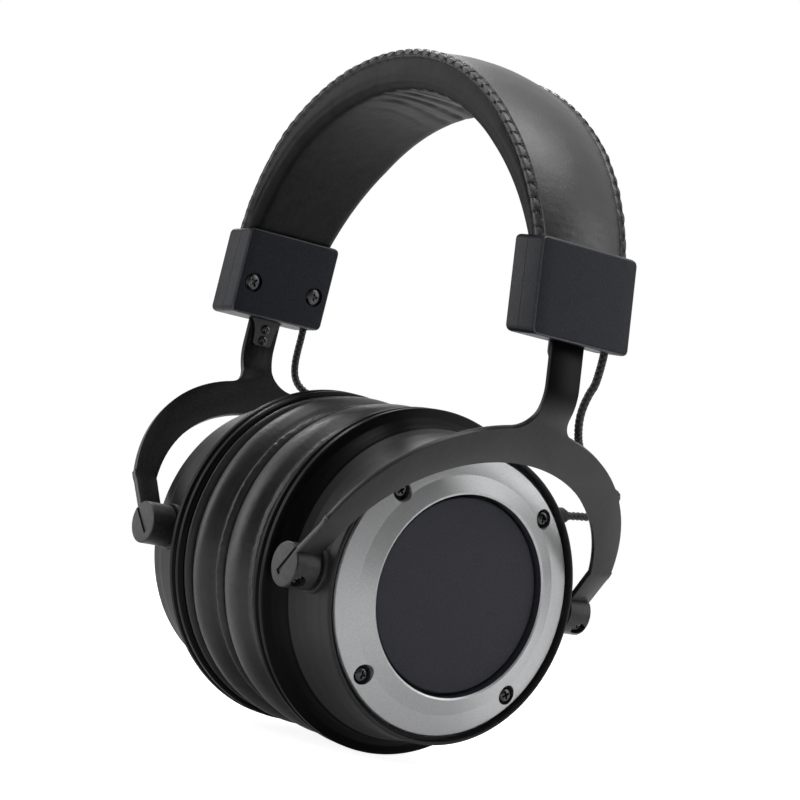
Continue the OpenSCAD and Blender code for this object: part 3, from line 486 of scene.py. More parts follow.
def cableRoute(s):
    inside = [(layout["slideHalfSpan"] - u * math.sin(lean), cable["linkY"],
        layout["housingZ"] + u * math.cos(lean)) for u in cable["inside"]]
    upper = [Vector((x * s, y, z)) + forkShift(s) for x, y, z in inside + cableUpper[s]]
    place = cupFrame(s)
    lower = [place @ Vector(p) for p in cableLower + [glandPoint(cable["glandEnd"] + 4),
        glandPoint(cable["glandEnd"] + 0.05)]]
    return smoothLine(upper + lower, cable["fine"])


def tubeAlong(name, line, d, around, finish):
    tangents = np.gradient(line, axis=0)
    tangents /= np.linalg.norm(tangents, axis=1)[:, None]
    side = np.cross(tangents[0], (0.3, 1, 0.2))
    verts, uvs, run = [], [], 0.0
    for i, (p, t) in enumerate(zip(line, tangents)):
        run += np.linalg.norm(line[i] - line[i - 1]) if i else 0
        side = side - t * (side @ t)
        side /= np.linalg.norm(side)
        other = np.cross(t, side)
        for j in range(around):
            a = 2 * math.pi * j / around
            # the crossing strands of the braid stand a little proud
            wind = run * cable["winding"]
            weave = abs(math.sin(2 * a + wind) * math.sin(2 * a - wind)) ** cable["round"]
            r = d / 2 + cable["strand"] * weave - cable["sunk"]
            verts.append(p + r * (math.cos(a) * side + math.sin(a) * other))
            # the braid finish reads this weave height from the UV: painted shade in the hollows between
            # strands and painted highlight on their crests, over the strand pattern
            uvs.append((weave, run / 10))
    return makePiece(name, verts, gridFaces(len(line), around), finish, uvs=uvs, angle=60)


for s, side in sideNames.items():
    route = cableRoute(s)
    # closer points bring out the braid
    length = np.concatenate([[0], np.cumsum(np.linalg.norm(np.diff(route, axis=0), axis=1))])
    stops = np.linspace(0, length[-1], int(length[-1] / cable["spacing"]))
    dense = np.stack([np.interp(stops, length, route[:, k]) for k in range(3)], axis=1)
    for _ in range(cable["smoothing"]):
        dense[1:-1] = (dense[:-2] + 2 * dense[1:-1] + dense[2:]) / 4
    cord = tubeAlong(f"linkCord.{side}", dense, cable["diameter"], cable["around"], "braid")
    bottom = cupFrame(s) @ Vector(cable["hangTo"])
    x, y, z = cable["hangFrom"]
    top = Vector((s * x, y, z)) + forkShift(s)
    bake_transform(cord, f"yoke_{side}", f"cup_{side}", top * mm, bottom * mm)
    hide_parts(f"link_cable_{side}")
    print(f"link cable {side}: {length[-1]:.1f} mm")

# head band
band = {
    "seamR": 77.6, "seamZ": -66.8, "underR": 74.85, "underDrop": 8.05,
    "widthTop": 18.1, "widthEnd": 15.55, "taper": (10.8, 42.7), "crown": 3.0, "leather": 1.1, "corner": 3.4,
    "bed": 25.0, "stations": 560, "sideBulge": 0.4, "sideWave": 0.06, "tuck": 0.05,
    # where the crown is held flat: its distance from the slide, the height where it is let go and how fast
    "topTo": 5.15, "pressTo": 27.5, "letGo": 0.045, "letGoPower": 1.45, "pressSoft": 0.5,
    "crownWave": 0.1, "crinkle": 0.22, "crinkleFrom": (0.78, 0.95),
    # folds across the underside: depth, spacing, bow, wander, and where they start, stop and thin out
    "wrinkle": 1.3, "wrinklePitch": 7.2, "wrinkleBow": 0.016, "wrinkleWander": 3.4,
    "wrinkleIn": (-30, 2), "wrinkleOut": (30, 46), "wrinkleSide": (12.5, 17.2), "bulgeEnd": (0.86, 0.97),
}


def smoothStep(x, a, b):
    t = np.clip((x - a) / (b - a), 0, 1)
    return t * t * (3 - 2 * t)


def bandHalf(z):
    # half the band's width at height z
    start, end = band["taper"]
    t = np.clip((-start - z) / (end - start), 0, 1)
    return band["widthTop"] + (band["widthEnd"] - band["widthTop"]) * t


def underRadius(phi):
    # the underside is an arc whose centre lies lower than the seam's
    d, r = band["underDrop"], band["underR"]
    return -d * math.cos(phi) + math.sqrt(r * r - (d * math.sin(phi)) ** 2)


def endAngle(r):
    # where a line along the band at radius r meets its bed in the housing
    rise = (band["seamZ"] - layout["housingZ"]) * math.cos(lean)
    reach = band["bed"] - layout["slideHalfSpan"] * math.sin(lean) - rise
    return math.acos(reach / r) - lean


def bandPlace(r, phi, y):
    return [r * math.sin(phi), y, band["seamZ"] + r * math.cos(phi)]


def pressed(p):
    # the crown lies flat where it goes into the housing
    s = 1 if p[0] > 0 else -1
    x, z = p[0] * s - layout["slideHalfSpan"], p[2] - layout["housingZ"]
    xh, zh = x * math.cos(lean) + z * math.sin(lean), -x * math.sin(lean) + z * math.cos(lean)
    soft = band["pressSoft"]
    limit = band["topTo"] + band["letGo"] * max(0.0, zh - band["pressTo"]) ** band["letGoPower"]
    if xh > limit - soft:
        xh = limit - soft * math.exp(-(xh - limit + soft) / soft)
    x, z = xh * math.cos(lean) - zh * math.sin(lean), xh * math.sin(lean) + zh * math.cos(lean)
    return [s * (layout["slideHalfSpan"] + x), p[1], layout["housingZ"] + z]


def ripple(x, y, seed, scale):
    return noise.noise(Vector((x * scale, y * scale, seed)))


def crownVerts():
    # each ring runs along the outer face and back along the inner one
    across = [k / 26 * 2 - 1 for k in range(27)]
    section = [(v, 0.0) for v in across] + [(v, band["leather"]) for v in across[::-1]]
    verts = []
    n = band["stations"]
    for i in range(n + 1):
        t = 2 * i / n - 1
        near = float(smoothStep(abs(t), *band["crinkleFrom"]))
        for v, thin in section:
            r = band["seamR"] + band["crown"] * (1 - v * v) - thin
            phi = t * endAngle(r)
            w = float(bandHalf(band["seamZ"] + band["seamR"] * math.cos(phi)))
            arc = phi * band["seamR"]
            if not thin:
                r += band["crownWave"] * ripple(arc, v * 14, 1.0, 0.16) * (1 - v * v)
                r -= near * band["crinkle"] * abs(ripple(arc * 0.9, v * 16, 4.0, 0.42)) * (1 - v * v)
            verts.append(pressed(bandPlace(r, phi, v * (w - thin * 0.8))))
    return verts, len(section)


def wrinkleDepth(arc, y):
    bend = arc + band["wrinkleBow"] * y * y + band["wrinkleWander"] * ripple(arc, y, 7.0, 0.06)
    wave = (0.5 + 0.5 * math.cos(2 * math.pi * bend / band["wrinklePitch"])) ** 2.2
    strong = float(smoothStep(arc, *band["wrinkleIn"])) * (1 - float(smoothStep(arc, *band["wrinkleOut"])))
    weak = 0.25 + 0.75 * (0.5 + 0.5 * ripple(arc * 0.5, y, 9.0, 0.21))
    edge = 1 - float(smoothStep(abs(y), *band["wrinkleSide"])) * 0.85
    return band["wrinkle"] * wave * strong * weak * edge


def underRow(kind, q, bottom):
    # radius of a row of the under leather: down the side, round the corner and along the flat
    corner = band["corner"]
    if kind == "side":
        return band["seamR"] - band["tuck"] + (bottom + corner - band["seamR"]) * q
    if kind == "corner":
        return bottom + corner * (1 - math.sin(q * math.pi / 2))
    return bottom


def underLine(t, section, thin):
    # half of a section, as radius, angle and distance from the middle
    corner = band["corner"]
    fade = 1 - float(smoothStep(abs(t), *band["bulgeEnd"]))
    line = []
    for kind, q in section:
        phi = t * endAngle(band["seamR"])
        for _ in range(2):
            phi = t * endAngle(underRow(kind, q, underRadius(phi) + thin))
        r = underRow(kind, q, underRadius(phi) + thin)
        w = float(bandHalf(band["seamZ"] + band["seamR"] * math.cos(phi))) - thin
        if kind == "side":
            y = w
            if not thin:
                y += band["sideBulge"] * fade * math.sin(math.pi * min(1, q * 0.9))
                y += band["sideWave"] * ripple(phi * 77, r, 3.0, 0.12)
        elif kind == "corner":
            y = w - corner * (1 - math.cos(q * math.pi / 2))
        else:
            y = (w - corner) * (1 - 2 * q)
        line.append([r, phi, y])
    return line


def wrinkled(r, phi, y):
    # the folds lie on the flat and fade out up the corner
    if r < band["seamR"] - 2:
        bottom = underRadius(phi)
        low = float(smoothStep(-r, -(bottom + band["corner"]), -bottom))
        r += wrinkleDepth(phi * 72, y) * low
    return [r, phi, y]


def underVerts():
    section = [("side", q / 9) for q in range(9)] + [("corner", q / 8) for q in range(9)]
    section += [("flat", q / 26) for q in range(1, 14)]
    verts = []
    n = band["stations"]
    for i in range(n + 1):
        t = 2 * i / n - 1
        for thin in (0.0, band["leather"]):
            line = underLine(t, section, thin)
            # the last row is the middle, which both halves share
            whole = line + [[r, phi, -y] for r, phi, y in line[-2::-1]]
            whole = whole[::-1] if thin else [wrinkled(*p) for p in whole]
            verts += [bandPlace(*p) for p in whole]
    return verts, len(verts) // (n + 1)


verts, per = crownVerts()
crownCover = makePiece("bandCrown", verts, gridFaces(band["stations"] + 1, per), "bandLeather", angle=50)
verts, per = underVerts()
underCover = makePiece("bandUnderside", verts, gridFaces(band["stations"] + 1, per), "sideLeather", angle=50)
mounted(crownCover, "headband", "black_leather", "cover_top")
mounted(underCover, "headband", "black_leather", "cover_under")
print("band covers sewn")

# sewn edges of the band
seam = {
    "pitch": 4.3, "onCrown": 2.2, "onSide": 1.5, "puff": 0.75, "stations": 1000, "across": 8, "reach": 0.995,
    "width": 3.0, "thread": 0.19, "lift": 0.42,
    # the pillows between the stitches: how square they are, how deep the strip goes, and its thin ends
    "square": 3.4, "sink": 0.45, "narrow": 0.96, "tail": 14, "drawnIn": 0.25,
}


def seamArc():
    return band["seamR"] * endAngle(band["seamR"])


def seamPoint(phi, side, v, lift):
    # v runs from -1 on the side panel to 1 on the crown
    w = float(bandHalf(band["seamZ"] + band["seamR"] * math.cos(phi)))
    if v >= 0:
        y, r = w - seam["onCrown"] * v, band["seamR"]
        r += band["crown"] * (1 - (y / w) ** 2)
        ny, nr = 0.55 - 0.45 * v, 0.85 + 0.14 * v
    else:
        y, r = w + 0.1 * v, band["seamR"] + seam["onSide"] * v
        ny, nr = 0.55 - 0.45 * v, 0.85 + 0.75 * v
    return bandPlace(r + nr * lift, phi, side * (y + ny * lift))


def seamStrip(side):
    verts = []
    n, across = seam["stations"], seam["across"]
    limit = endAngle(band["seamR"]) * seam["reach"]
    for i in range(n + 1):
        phi = (2 * i / n - 1) * limit
        arc = phi * band["seamR"]
        swell = 0.6 + 0.4 * abs(math.sin(math.pi * arc / seam["pitch"])) ** 0.5
        swell *= 1 + 0.22 * ripple(arc, side * 9, 5.0, 0.3)
        ends = min(1.0, (n - abs(2 * i - n)) / seam["tail"])
        ring = []
        for k in range(across + 1):
            v = 2 * k / across - 1
            puff = seam["puff"] * swell * max(0.0, 1 - abs(v) ** seam["square"]) * ends
            ring.append(pressed(seamPoint(phi, side, v, puff + 0.02)))
        for k in range(across, -1, -1):
            ring.append(pressed(seamPoint(phi, side, seam["narrow"] * (2 * k / across - 1), -seam["sink"])))
        verts += ring
    return makePiece(f"bandSeam.{'back' if side > 0 else 'front'}", verts,
        gridFaces(n + 1, 2 * (across + 1)), "seamLeather", angle=60)


def nodeTree(name, sockets):
    tree = bpy.data.node_groups.new(name, "GeometryNodeTree")
    ids = {}
    for label, kind, default in sockets:
        item = tree.interface.new_socket(label, in_out="INPUT", socket_type=kind)
        if default is not None:
            item.default_value = default
        ids[label] = item.identifier
    tree.interface.new_socket("Geometry", in_out="OUTPUT", socket_type="NodeSocketGeometry")
    return tree, ids


def vectorOf(tree, x, y, z):
    return addNode(tree, "ShaderNodeCombineXYZ", {0: x, 1: y, 2: z}).outputs[0]


def scaledBy(tree, value, factor):
    return addNode(tree, "ShaderNodeMath", {0: value, 1: factor}, operation="MULTIPLY").outputs[0]


def repeatOnPoints(tree, source, shape, turn, finish, size=(1, 1, 1)):
    # the end of a tree: a shape on each point, made real and given its finish
    place = addNode(tree, "GeometryNodeInstanceOnPoints", {"Points": source["Geometry"], "Instance": shape,
        "Rotation": turn, "Scale": size})
    real = addNode(tree, "GeometryNodeRealizeInstances", {"Geometry": place.outputs["Instances"]})
    paint = addNode(tree, "GeometryNodeSetMaterial", {"Geometry": real.outputs["Geometry"],
        "Material": source[finish]})
    addNode(tree, "NodeGroupOutput", {"Geometry": paint.outputs["Geometry"]})


def stitchTree():
    tree, ids = nodeTree("sewnStitches", [("Geometry", "NodeSocketGeometry", None),
        ("Pitch", "NodeSocketFloat", 0.004), ("Strip width", "NodeSocketFloat", 0.003),
        ("Thread", "NodeSocketFloat", 0.0003), ("Lift", "NodeSocketFloat", 0.0004),
        ("Thread finish", "NodeSocketMaterial", None)])
    source = addNode(tree, "NodeGroupInput").outputs
    ring = addNode(tree, "GeometryNodeCurvePrimitiveCircle", {"Resolution": 7,
        "Radius": scaledBy(tree, source["Thread"], 0.5)})
    strands = addNode(tree, "GeometryNodeJoinGeometry")
    # two slanting strands over the strip, and a long stitch along each of its sides
    shapes = [((-0.16, -0.5), (0.0, 0.0), (0.10, 0.5), 1.6), ((-0.02, -0.5), (0.1, 0.0), (0.24, 0.5), 1.6),
        ((-0.44, -0.52), (0.0, -0.54), (0.40, -0.52), 0.6), ((-0.40, 0.5), (0.0, 0.52), (0.44, 0.5), 0.5)]
    for start, middle, end, arch in shapes:
        bow = addNode(tree, "GeometryNodeCurveQuadraticBezier", {"Resolution": 7})
        for label, (a, b), h in (("Start", start, -0.25), ("Middle", middle, arch), ("End", end, -0.25)):
            feed(tree, bow, {label: vectorOf(tree, scaledBy(tree, source["Pitch"], a),
                scaledBy(tree, source["Strip width"], b), scaledBy(tree, source["Lift"], h))})
        tube = addNode(tree, "GeometryNodeCurveToMesh", {"Curve": bow.outputs["Curve"],
            "Profile Curve": ring.outputs["Curve"], "Fill Caps": True})
        feed(tree, strands, {"Geometry": tube.outputs["Mesh"]})
    turn = None
    for label, axis in (("along", "X"), ("outward", "Z")):
        field = addNode(tree, "GeometryNodeInputNamedAttribute", {"Name": label}, data_type="FLOAT_VECTOR")
        aim = addNode(tree, "FunctionNodeAlignRotationToVector", {"Vector": field.outputs["Attribute"]},
            axis=axis)
        if turn:
            aim.pivot_axis = "X"
            feed(tree, aim, {"Rotation": turn})
        turn = aim.outputs["Rotation"]
    repeatOnPoints(tree, source, strands.outputs["Geometry"], turn, "Thread finish")
    return tree, ids


def grown(name, points, vectors, tree, ids, values, finish, place=None):
    # a tree's shapes on these points, as a plain mesh
    mesh = bpy.data.meshes.new(name)
    mesh.from_pydata([tuple(p) for p in points], [], [])
    for label, rows in vectors.items():
        layer = mesh.attributes.new(label, "FLOAT_VECTOR", "POINT")
        layer.data.foreach_set("vector", np.asarray(rows, np.float32).ravel())
    carrier = bpy.data.objects.new(name, mesh)
    bpy.context.collection.objects.link(carrier)
    mod = carrier.modifiers.new("pattern", "NODES")
    mod.node_group = tree
    for label, value in values.items():
        mod[ids[label]] = value
    carrier.update_tag()
    applied(carrier)
    mesh = carrier.data
    bpy.data.objects.remove(carrier)
    if place is not None:
        mesh.transform(place)
    turnedOut(mesh)
    shaded(mesh, 50)
    mesh.name = name
    return wrapMesh(name, mesh, finish)


stitches, stitchIds = stitchTree()
for side, label in ((-1, "front"), (1, "back")):
    mounted(seamStrip(side), "headband", "black_leather")
    count = int(seamArc() * seam["reach"] * 2 / seam["pitch"])
    points, along, outward = [], [], []
    for k in range(count):
        # between two pillows the strip is drawn in
        phi = (k - count // 2) * seam["pitch"] / band["seamR"]
        lift = seam["puff"] * seam["drawnIn"]
        p = Vector(pressed(seamPoint(phi, side, 0.0, lift)))
        q = Vector(pressed(seamPoint(phi + 0.01, side, 0.0, lift)))
        a = (q - p).normalized()
        o = Vector((0.72 * math.sin(phi), 0.68 * side, 0.72 * math.cos(phi)))
        o = (o - a * o.dot(a)).normalized()
        points.append(p * mm)
        along.append(a * side)
        outward.append(o)
    thread = grown(f"bandThread.{label}", points, {"along": along, "outward": outward}, stitches, stitchIds,
        {"Pitch": seam["pitch"] * mm, "Strip width": seam["width"] * mm, "Thread": seam["thread"] * mm,
            "Lift": seam["lift"] * mm, "Thread finish": finishes["seamThread"]}, "seamThread")
    mounted(thread, "headband", "black_leather")
print("seams stitched")

# ear pads
# each line runs from the contact face to the flange, as distance from the middle and radius
padOutlines = {
    1: [(0.3, 42.6), (0.35, 44.2), (0.9, 46.3), (2.3, 48.0), (4.6, 49.0), (7.4, 49.3), (10.0, 48.9),
        (12.0, 48.0), (13.4, 47.3), (14.4, 47.2), (15.3, 47.5), (16.1, 47.5), (16.7, 46.8), (17.1, 46.3),
        (17.5, 46.7), (18.0, 47.7), (18.4, 48.1), (18.8, 48.1)],
    -1: [(0.3, 42.4), (0.4, 44.2), (0.9, 46.2), (1.8, 47.3), (2.8, 47.6), (3.7, 47.1), (4.5, 46.6),
        (5.4, 46.9), (6.9, 48.2), (9.2, 49.2), (11.6, 49.3), (13.7, 48.5), (15.2, 46.9), (15.8, 45.7),
        (16.3, 45.8), (16.8, 47.2), (17.4, 48.3), (18.0, 48.7), (18.8, 48.6)],
}
pad = {
    "around": 720, "fine": 4, "innerR": 27.2, "innerRoll": 4.4, "seat": 18.78,
    "ridge": {1: 15.2, -1: 2.9}, "crease": {1: 17.0, -1: 15.9}, "edge": 0.6, "leatherFrom": 45.5,
    # how far the leather moves: slow waves, folds at the ridge, pinches at the seams, and grain
    "sag": 0.22, "crinkle": 0.2, "fineCrinkle": 0.11, "pinch": 0.42, "grain": 0.035, "inside": 0.25,
}


def padProfile(s):
    outer = [tuple(p) for p in smoothLine(padOutlines[s], pad["fine"])]
    roll, r, seat = pad["innerRoll"], pad["innerR"], pad["seat"]
    inner = [(seat, 44.0), (seat, 36.0), (seat, r + 1.2), (seat - 1.4, r), (14.0, r - 0.1), (9.5, r)]
    turns = [k * math.pi / 16 for k in range(9)]
    inner += [(0.25 + roll - roll * math.sin(a), r + roll - roll * math.cos(a)) for a in turns]
    # the contact face is nearly flat
    inner += [(0.22, 34.0), (0.22, 37.0), (0.24, 40.0), (0.26, 42.4)]
    return outer, inner


def padMove(s, x, ca, sa, front):
    # how far the leather stands out at distance x, in the direction ca, sa
    near = math.exp(-((x - pad["ridge"][s]) / 1.5) ** 2)
    fold = noise.noise(Vector((ca * 9, sa * 9, s * 3.0 + x * 0.10)) * 3.6)
    d = pad["sag"] * noise.noise(Vector((ca * 2.2, sa * 2.2, x * 0.12 + 5 * s)))
    d += pad["crinkle"] * near * front * fold
    d += pad["fineCrinkle"] * near * front * noise.noise(Vector((ca * 70, sa * 70, x * 0.9)))
    pinch = math.exp(-((x - pad["crease"][s]) / 0.9) ** 2) + math.exp(-((x - pad["edge"]) / 0.8) ** 2)
    d += pad["pinch"] * pinch * noise.noise(Vector((ca * 16, sa * 16, x * 0.4 + s)))
    return d + pad["grain"] * noise.noise(Vector((ca * 46, sa * 46, x * 0.55)))


def padShape(s):
    outer, inner = padProfile(s)
    verts = []
    steps = pad["around"]
    for k in range(steps):
        a = 2 * math.pi * k / steps
        ca, sa = math.cos(a), math.sin(a)
        # crinkles gather where the leather is pulled round the front and lower edge
        front = 0.45 + 0.55 * (0.5 - 0.5 * math.cos(a + 0.5))
        for x, r in outer:
            d = padMove(s, x, ca, sa, front) if r > pad["leatherFrom"] else 0.0
            verts.append((x + 0.1 * d, (r + d) * ca, (r + d) * sa))
        for x, r in inner:
            soft = x < 16 and r < 31
            d = pad["inside"] * noise.noise(Vector((ca * 5, sa * 5, x * 0.3))) if soft else 0
            verts.append((x, (r + d) * ca, (r + d) * sa))
    per = len(outer) + len(inner)
    faces = []
    for k in range(steps):
        j = (k + 1) % steps
        for i in range(per):
            m = (i + 1) % per
            faces.append((k * per + i, k * per + m, j * per + m, j * per + i))
    return verts, faces


for s, side in sideNames.items():
    verts, faces = padShape(s)
    cushion = makePiece(f"earPad.{side}", verts, faces, "padLeather", cupFrame(s), angle=70)
    mounted(cushion, f"cup_{side}", "black_leather", f"ear_pad_{side}")
print("ear pads made")


# screws
screw = {"steps": 48, "slot": 0.15, "reach": 0.62, "deep": 0.62, "narrow": 0.62, "wide": 1.12}


def screwHead(name, r, h):
    # a low dome with a cross slot
    rows = [(0, 0), (0, 0.93), (0.14, 1), (0.5, 0.985), (0.74, 0.9), (0.9, 0.72), (0.98, 0.42), (1, 0)]
    dome = [(h * a, r * b) for a, b in rows]
    head = turned(name, dome, "screwBlack", Matrix.Identity(4), screw["steps"], closed=False, angle=40)
    levels = [(h * (1 - screw["deep"]), screw["narrow"]), (h * 1.3, screw["wide"])]
    cutters = []
    for w, l in ((screw["slot"], screw["reach"]), (screw["reach"], screw["slot"])):
        w, l = r * w, r * l
        corners = ((-w, -l), (w, -l), (w, l), (-w, l))
        verts = [(x, y * k, z * k) for x, k in levels for y, z in corners]
        faces = [(0, 1, 2, 3), (4, 5, 6, 7), (0, 1, 5, 4), (1, 2, 6, 5), (2, 3, 7, 6), (3, 0, 4, 7)]
        cutters.append(makePiece("cutter", verts, faces, "screwBlack"))
    return carve(head, cutters, 30)


def screwTree():
    tree, ids = nodeTree("screwPlaces", [("Geometry", "NodeSocketGeometry", None),
        ("Screw", "NodeSocketObject", None), ("Size", "NodeSocketFloat", 1.0),
        ("Turn step", "NodeSocketFloat", 0.7), ("Screw finish", "NodeSocketMaterial", None)])
    source = addNode(tree, "NodeGroupInput").outputs
    model = addNode(tree, "GeometryNodeObjectInfo", {"Object": source["Screw"]})
    index = addNode(tree, "GeometryNodeInputIndex").outputs[0]
    # no two screws stop at the same angle
    spin = vectorOf(tree, scaledBy(tree, index, source["Turn step"]), 0.0, 0.0)
    turn = addNode(tree, "FunctionNodeEulerToRotation", {0: spin}).outputs[0]
    repeatOnPoints(tree, source, model.outputs["Geometry"], turn, "Screw finish", source["Size"])
    return tree, ids


screwNodes, screwIds = screwTree()


def placedScrews(name, r, h, points, place, turn=0.7):
    # screws with heads of radius r and height h, whose slots turn on from one to the next
    head = screwHead("screwModel", r, h)
    values = {"Screw": head, "Size": 1.0, "Turn step": turn, "Screw finish": finishes["screwBlack"]}
    seat = Matrix.Translation(place.translation * mm) @ place.to_3x3().to_4x4()
    made = grown(name, [Vector(p) * mm for p in points], {}, screwNodes, screwIds, values, "screwBlack", seat)
    bpy.data.objects.remove(head)
    return made


# ear cups
# profiles run outwards along the cup's axis: distance, radius and how far the corner is rounded
cup = {
    "body": [(22.25, 0, 0), (22.25, 48.9, 0.2), (22.75, 49.6, 0.3), (23.3, 50.0, 0.5), (24.9, 50.0, 0.5),
        (25.2, 49.3, 0.3), (25.7, 47.4, 0.6), (27.6, 46.0, 1.4), (29.6, 45.3, 0.2), (30.2, 44.7, 0.3),
        (32.6, 43.7, 1.2), (36.2, 43.05, 1.5), (41.8, 42.9, 0.5), (43.2, 42.7, 0.4), (46.2, 42.6, 0.3),
        (46.8, 42.15, 0.25), (46.8, 41.75, 0.1), (46.5, 41.6, 0.1), (43.6, 41.6, 0), (43.6, 0, 0)],
    "plate": [(19.0, 17.0, 0), (19.0, 48.8, 0.2), (19.4, 49.4, 0.3), (20.1, 49.9, 0.6), (21.5, 49.9, 0.5),
        (22.1, 49.2, 0.2), (22.2, 48.9, 0), (22.2, 20.1, 0), (20.2, 20.1, 0), (20.2, 17.0, 0)],
    "ring": [(43.62, 28.5, 0), (43.62, 40.3, 0), (45.3, 40.3, 0.3), (45.9, 39.8, 0.4), (47.2, 33.9, 0.9),
        (49.0, 29.7, 0.5), (49.25, 29.2, 0.3), (48.9, 28.55, 0.2)],
    "cap": [(43.62, 0, 0), (43.62, 27.6, 0), (47.15, 27.6, 0.1), (47.4, 27.3, 0.2), (47.4, 0, 0)],
    # the boss of a pivot, along the pin's axis
    "boss": [(41.0, 0, 0), (41.0, 6.8, 0), (43.75, 6.8, 0.35), (44.0, 6.5, 0.1), (44.0, 0, 0)],
    "around": 256, "drumFrom": 29.9, "screwR": 36.3, "screwAngles": (45, 135, 225, 315),
    "screwHead": (2.15, 1.5), "screwSeat": 44.8, "recess": 2.75, "recessTo": 46.35,
    "flareTo": 48.6, "flare": 0.9, "innerEdge": 28.75, "innerTop": 49.05,
}


def besidePin(place, front):
    # the frame turned so that its first axis points along the pin, to the back or the front
    return place @ Matrix.Rotation(front * math.pi / 2, 4, "Z")


def cupShell(side, place):
    body = filleted(cup["body"], 5, closed=False)
    shell = turned(f"cupShell.{side}", body, "cupPlastic", place, cup["around"], closed=False)
    boss = filleted(cup["boss"], closed=False)
    middle = place @ Matrix.Translation((layout["pinX"], 0, 0))
    bosses = [turned("boss", boss, "cupPlastic", besidePin(middle, front), 72, closed=False)
        for front in (1, -1)]
    bpy.ops.object.select_all(action="DESELECT")
    for obj in bosses + [shell]:
        obj.select_set(True)
    bpy.context.view_layer.objects.active = shell
    bpy.ops.object.join()
    inverse = (Matrix.Scale(mm, 4) @ place).inverted()
    paintFaces(shell, "drumPlastic", lambda face: (inverse @ face.center).x > cup["drumFrom"])
    return shell


def trimRing(side, place, spots):
    ring = turned(f"trimRing.{side}", filleted(cup["ring"], 6), "silverPaint", place, cup["around"])
    flare = (cup["flareTo"], cup["recess"] + cup["flare"])
    carve(ring, [rod(cup["screwSeat"], cup["recessTo"], cup["recess"], place, spot, 56, flare=flare)
        for spot in spots], 30)
    inverse = (Matrix.Scale(mm, 4) @ place).inverted()

    def inPaintedShade(face):
        # painted shade: the recesses and the edge beside the cap get the dark cap finish
        c = inverse @ face.center
        inRecess = any(math.hypot(c.y - y, c.z - z) < cup["recess"] + 0.04 for y, z in spots)
        return inRecess or (math.hypot(c.y, c.z) < cup["innerEdge"] and c.x < cup["innerTop"])

    paintFaces(ring, "capPlastic", inPaintedShade)
    return ring


for s, side in sideNames.items():
    place = cupFrame(s)
    ride = f"cup_{side}"
    mounted(cupShell(side, place), ride, "black_plastic", f"ear_cup_{side}")
    plate = turned(f"cupPlate.{side}", filleted(cup["plate"]), "cupPlastic", place, cup["around"])
    mounted(plate, ride, "black_plastic", f"baffle_{side}")
    spots = [(cup["screwR"] * math.cos(math.radians(a)), cup["screwR"] * math.sin(math.radians(a)))
        for a in cup["screwAngles"]]
    mounted(trimRing(side, place, spots), ride, "silver_paint", f"trim_ring_{side}")
    profile = filleted(cup["cap"], closed=False)
    cap = turned(f"centreCap.{side}", profile, "capPlastic", place, cup["around"], closed=False)
    mounted(cap, ride, "matte_cap", f"centre_cap_{side}")
    seats = [(cup["screwSeat"] + 0.05, *spot) for spot in spots]
    heads = placedScrews(f"ringScrews.{side}", *cup["screwHead"], seats, place)
    mounted(heads, ride, "black_screws", f"trim_screws_{side}")
print("ear cups turned")

# end housings
housing = {
    "half": 17.15, "height": 27.0, "outer": 6.7, "inner": 5.5, "wall": 1.4, "corner": 0.65, "sideR": 1.9,
    "faceR": 0.75, "parting": 0.06, "crown": 0.15, "climb": 0.14, "screwY": 11.7, "screwZ": 11.9,
    "screwHead": (2.6, 0.75), "sunk": 0.85, "recess": 3.15, "recessDepth": 0.8,
    "stemHalf": 5.45, "fork": 1.8, "gap": 0.3,
    # the heads' slot has a depth and a half width, and the cord's runs from one depth to another
    "headSlot": (-2.4, 2.6), "cordSlot": (-3.4, 0.5),
    # where the painted edge highlight lies: its distance inside the faces and the tilt of its own faces
    "highlightFace": 1.2, "highlightSide": 1.0, "highlightTilt": 0.35,
}
# heights are measured along the stem, from the point that is at the housing's mouth at extension 0
strip = {
    "top": 26.0, "half": 5.4, "lap": -7.8, "endHalf": 3.4, "t": 0.8, "edge": 0.12, "behind": 0.01,
    "stemFrom": -0.6, "stemUp": 0.3, "bend": (-19.0, -9.5), "screwZ": (-2.4, -6), "screwHead": (1.5, 0.75),
}


def housingOutline(depth, lessX, lessY, corner, start):
    # half of a housing seen from above, from the parting line round to it again
    a, b = depth - lessX, housing["half"] - lessY
    turns = [q / 6 * math.pi / 2 for q in range(7)]
    quarter = [(a - corner + corner * math.sin(t), b - corner + corner * math.cos(t)) for t in turns]
    # the outer face bulges a little, and the room inside it doesn't
    bulge = housing["crown"] * (lessX < 1)
    face = [(a + bulge * (1 - k * k), k * (b - corner)) for k in (-0.75, -0.5, -0.25, 0, 0.25, 0.5, 0.75)]
    return [(start, -b)] + [(x, -y) for x, y in quarter] + face + quarter[::-1] + [(start, b)]


def housingSolid(name, s, depth, direction, levels, start, corner):
    verts = []
    for lessX, lessY, z in levels:
        for x, y in housingOutline(depth, lessX, lessY, corner, start):
            # the top and bottom climb a little toward the head
            verts.append((direction * x, y, z + housing["climb"] * (housing["outer"] - direction * x)))
    faces = gridFaces(len(levels), len(verts) // len(levels))
    return makePiece(name, verts, faces, "housingPlastic", housingFrame(s), angle=38)


def rounding(z, r):
    # how far an edge of radius r is drawn in at height z above it
    return r - math.sqrt(max(0.0, r * r - max(0.0, r - z) ** 2))


def housingShell(name, s, depth, direction):
    h, w = housing["height"], housing["wall"]
    side, face = housing["sideR"], housing["faceR"]
    steps = [side * (1 - math.cos(k / 8 * math.pi / 2)) for k in range(9)]
    levels = [(rounding(z, face), rounding(z, side), z) for z in steps]
    levels += [(rounding(z, face), rounding(z, side), h - z) for z in steps[::-1]]
    shell = housingSolid(name, s, depth, direction, levels, housing["parting"], housing["corner"])
    room = housingSolid("cutter", s, depth, direction, [(w, w, w), (w, w, h + 1)], -1, 0.4)
    return shell, room


def floorSlot(place, x0, x1, half, middle=0.0):
    # an opening through the housing's floor
    return slab((x0, middle - half, -1), (x1, middle + half, housing["wall"] + 1), place)


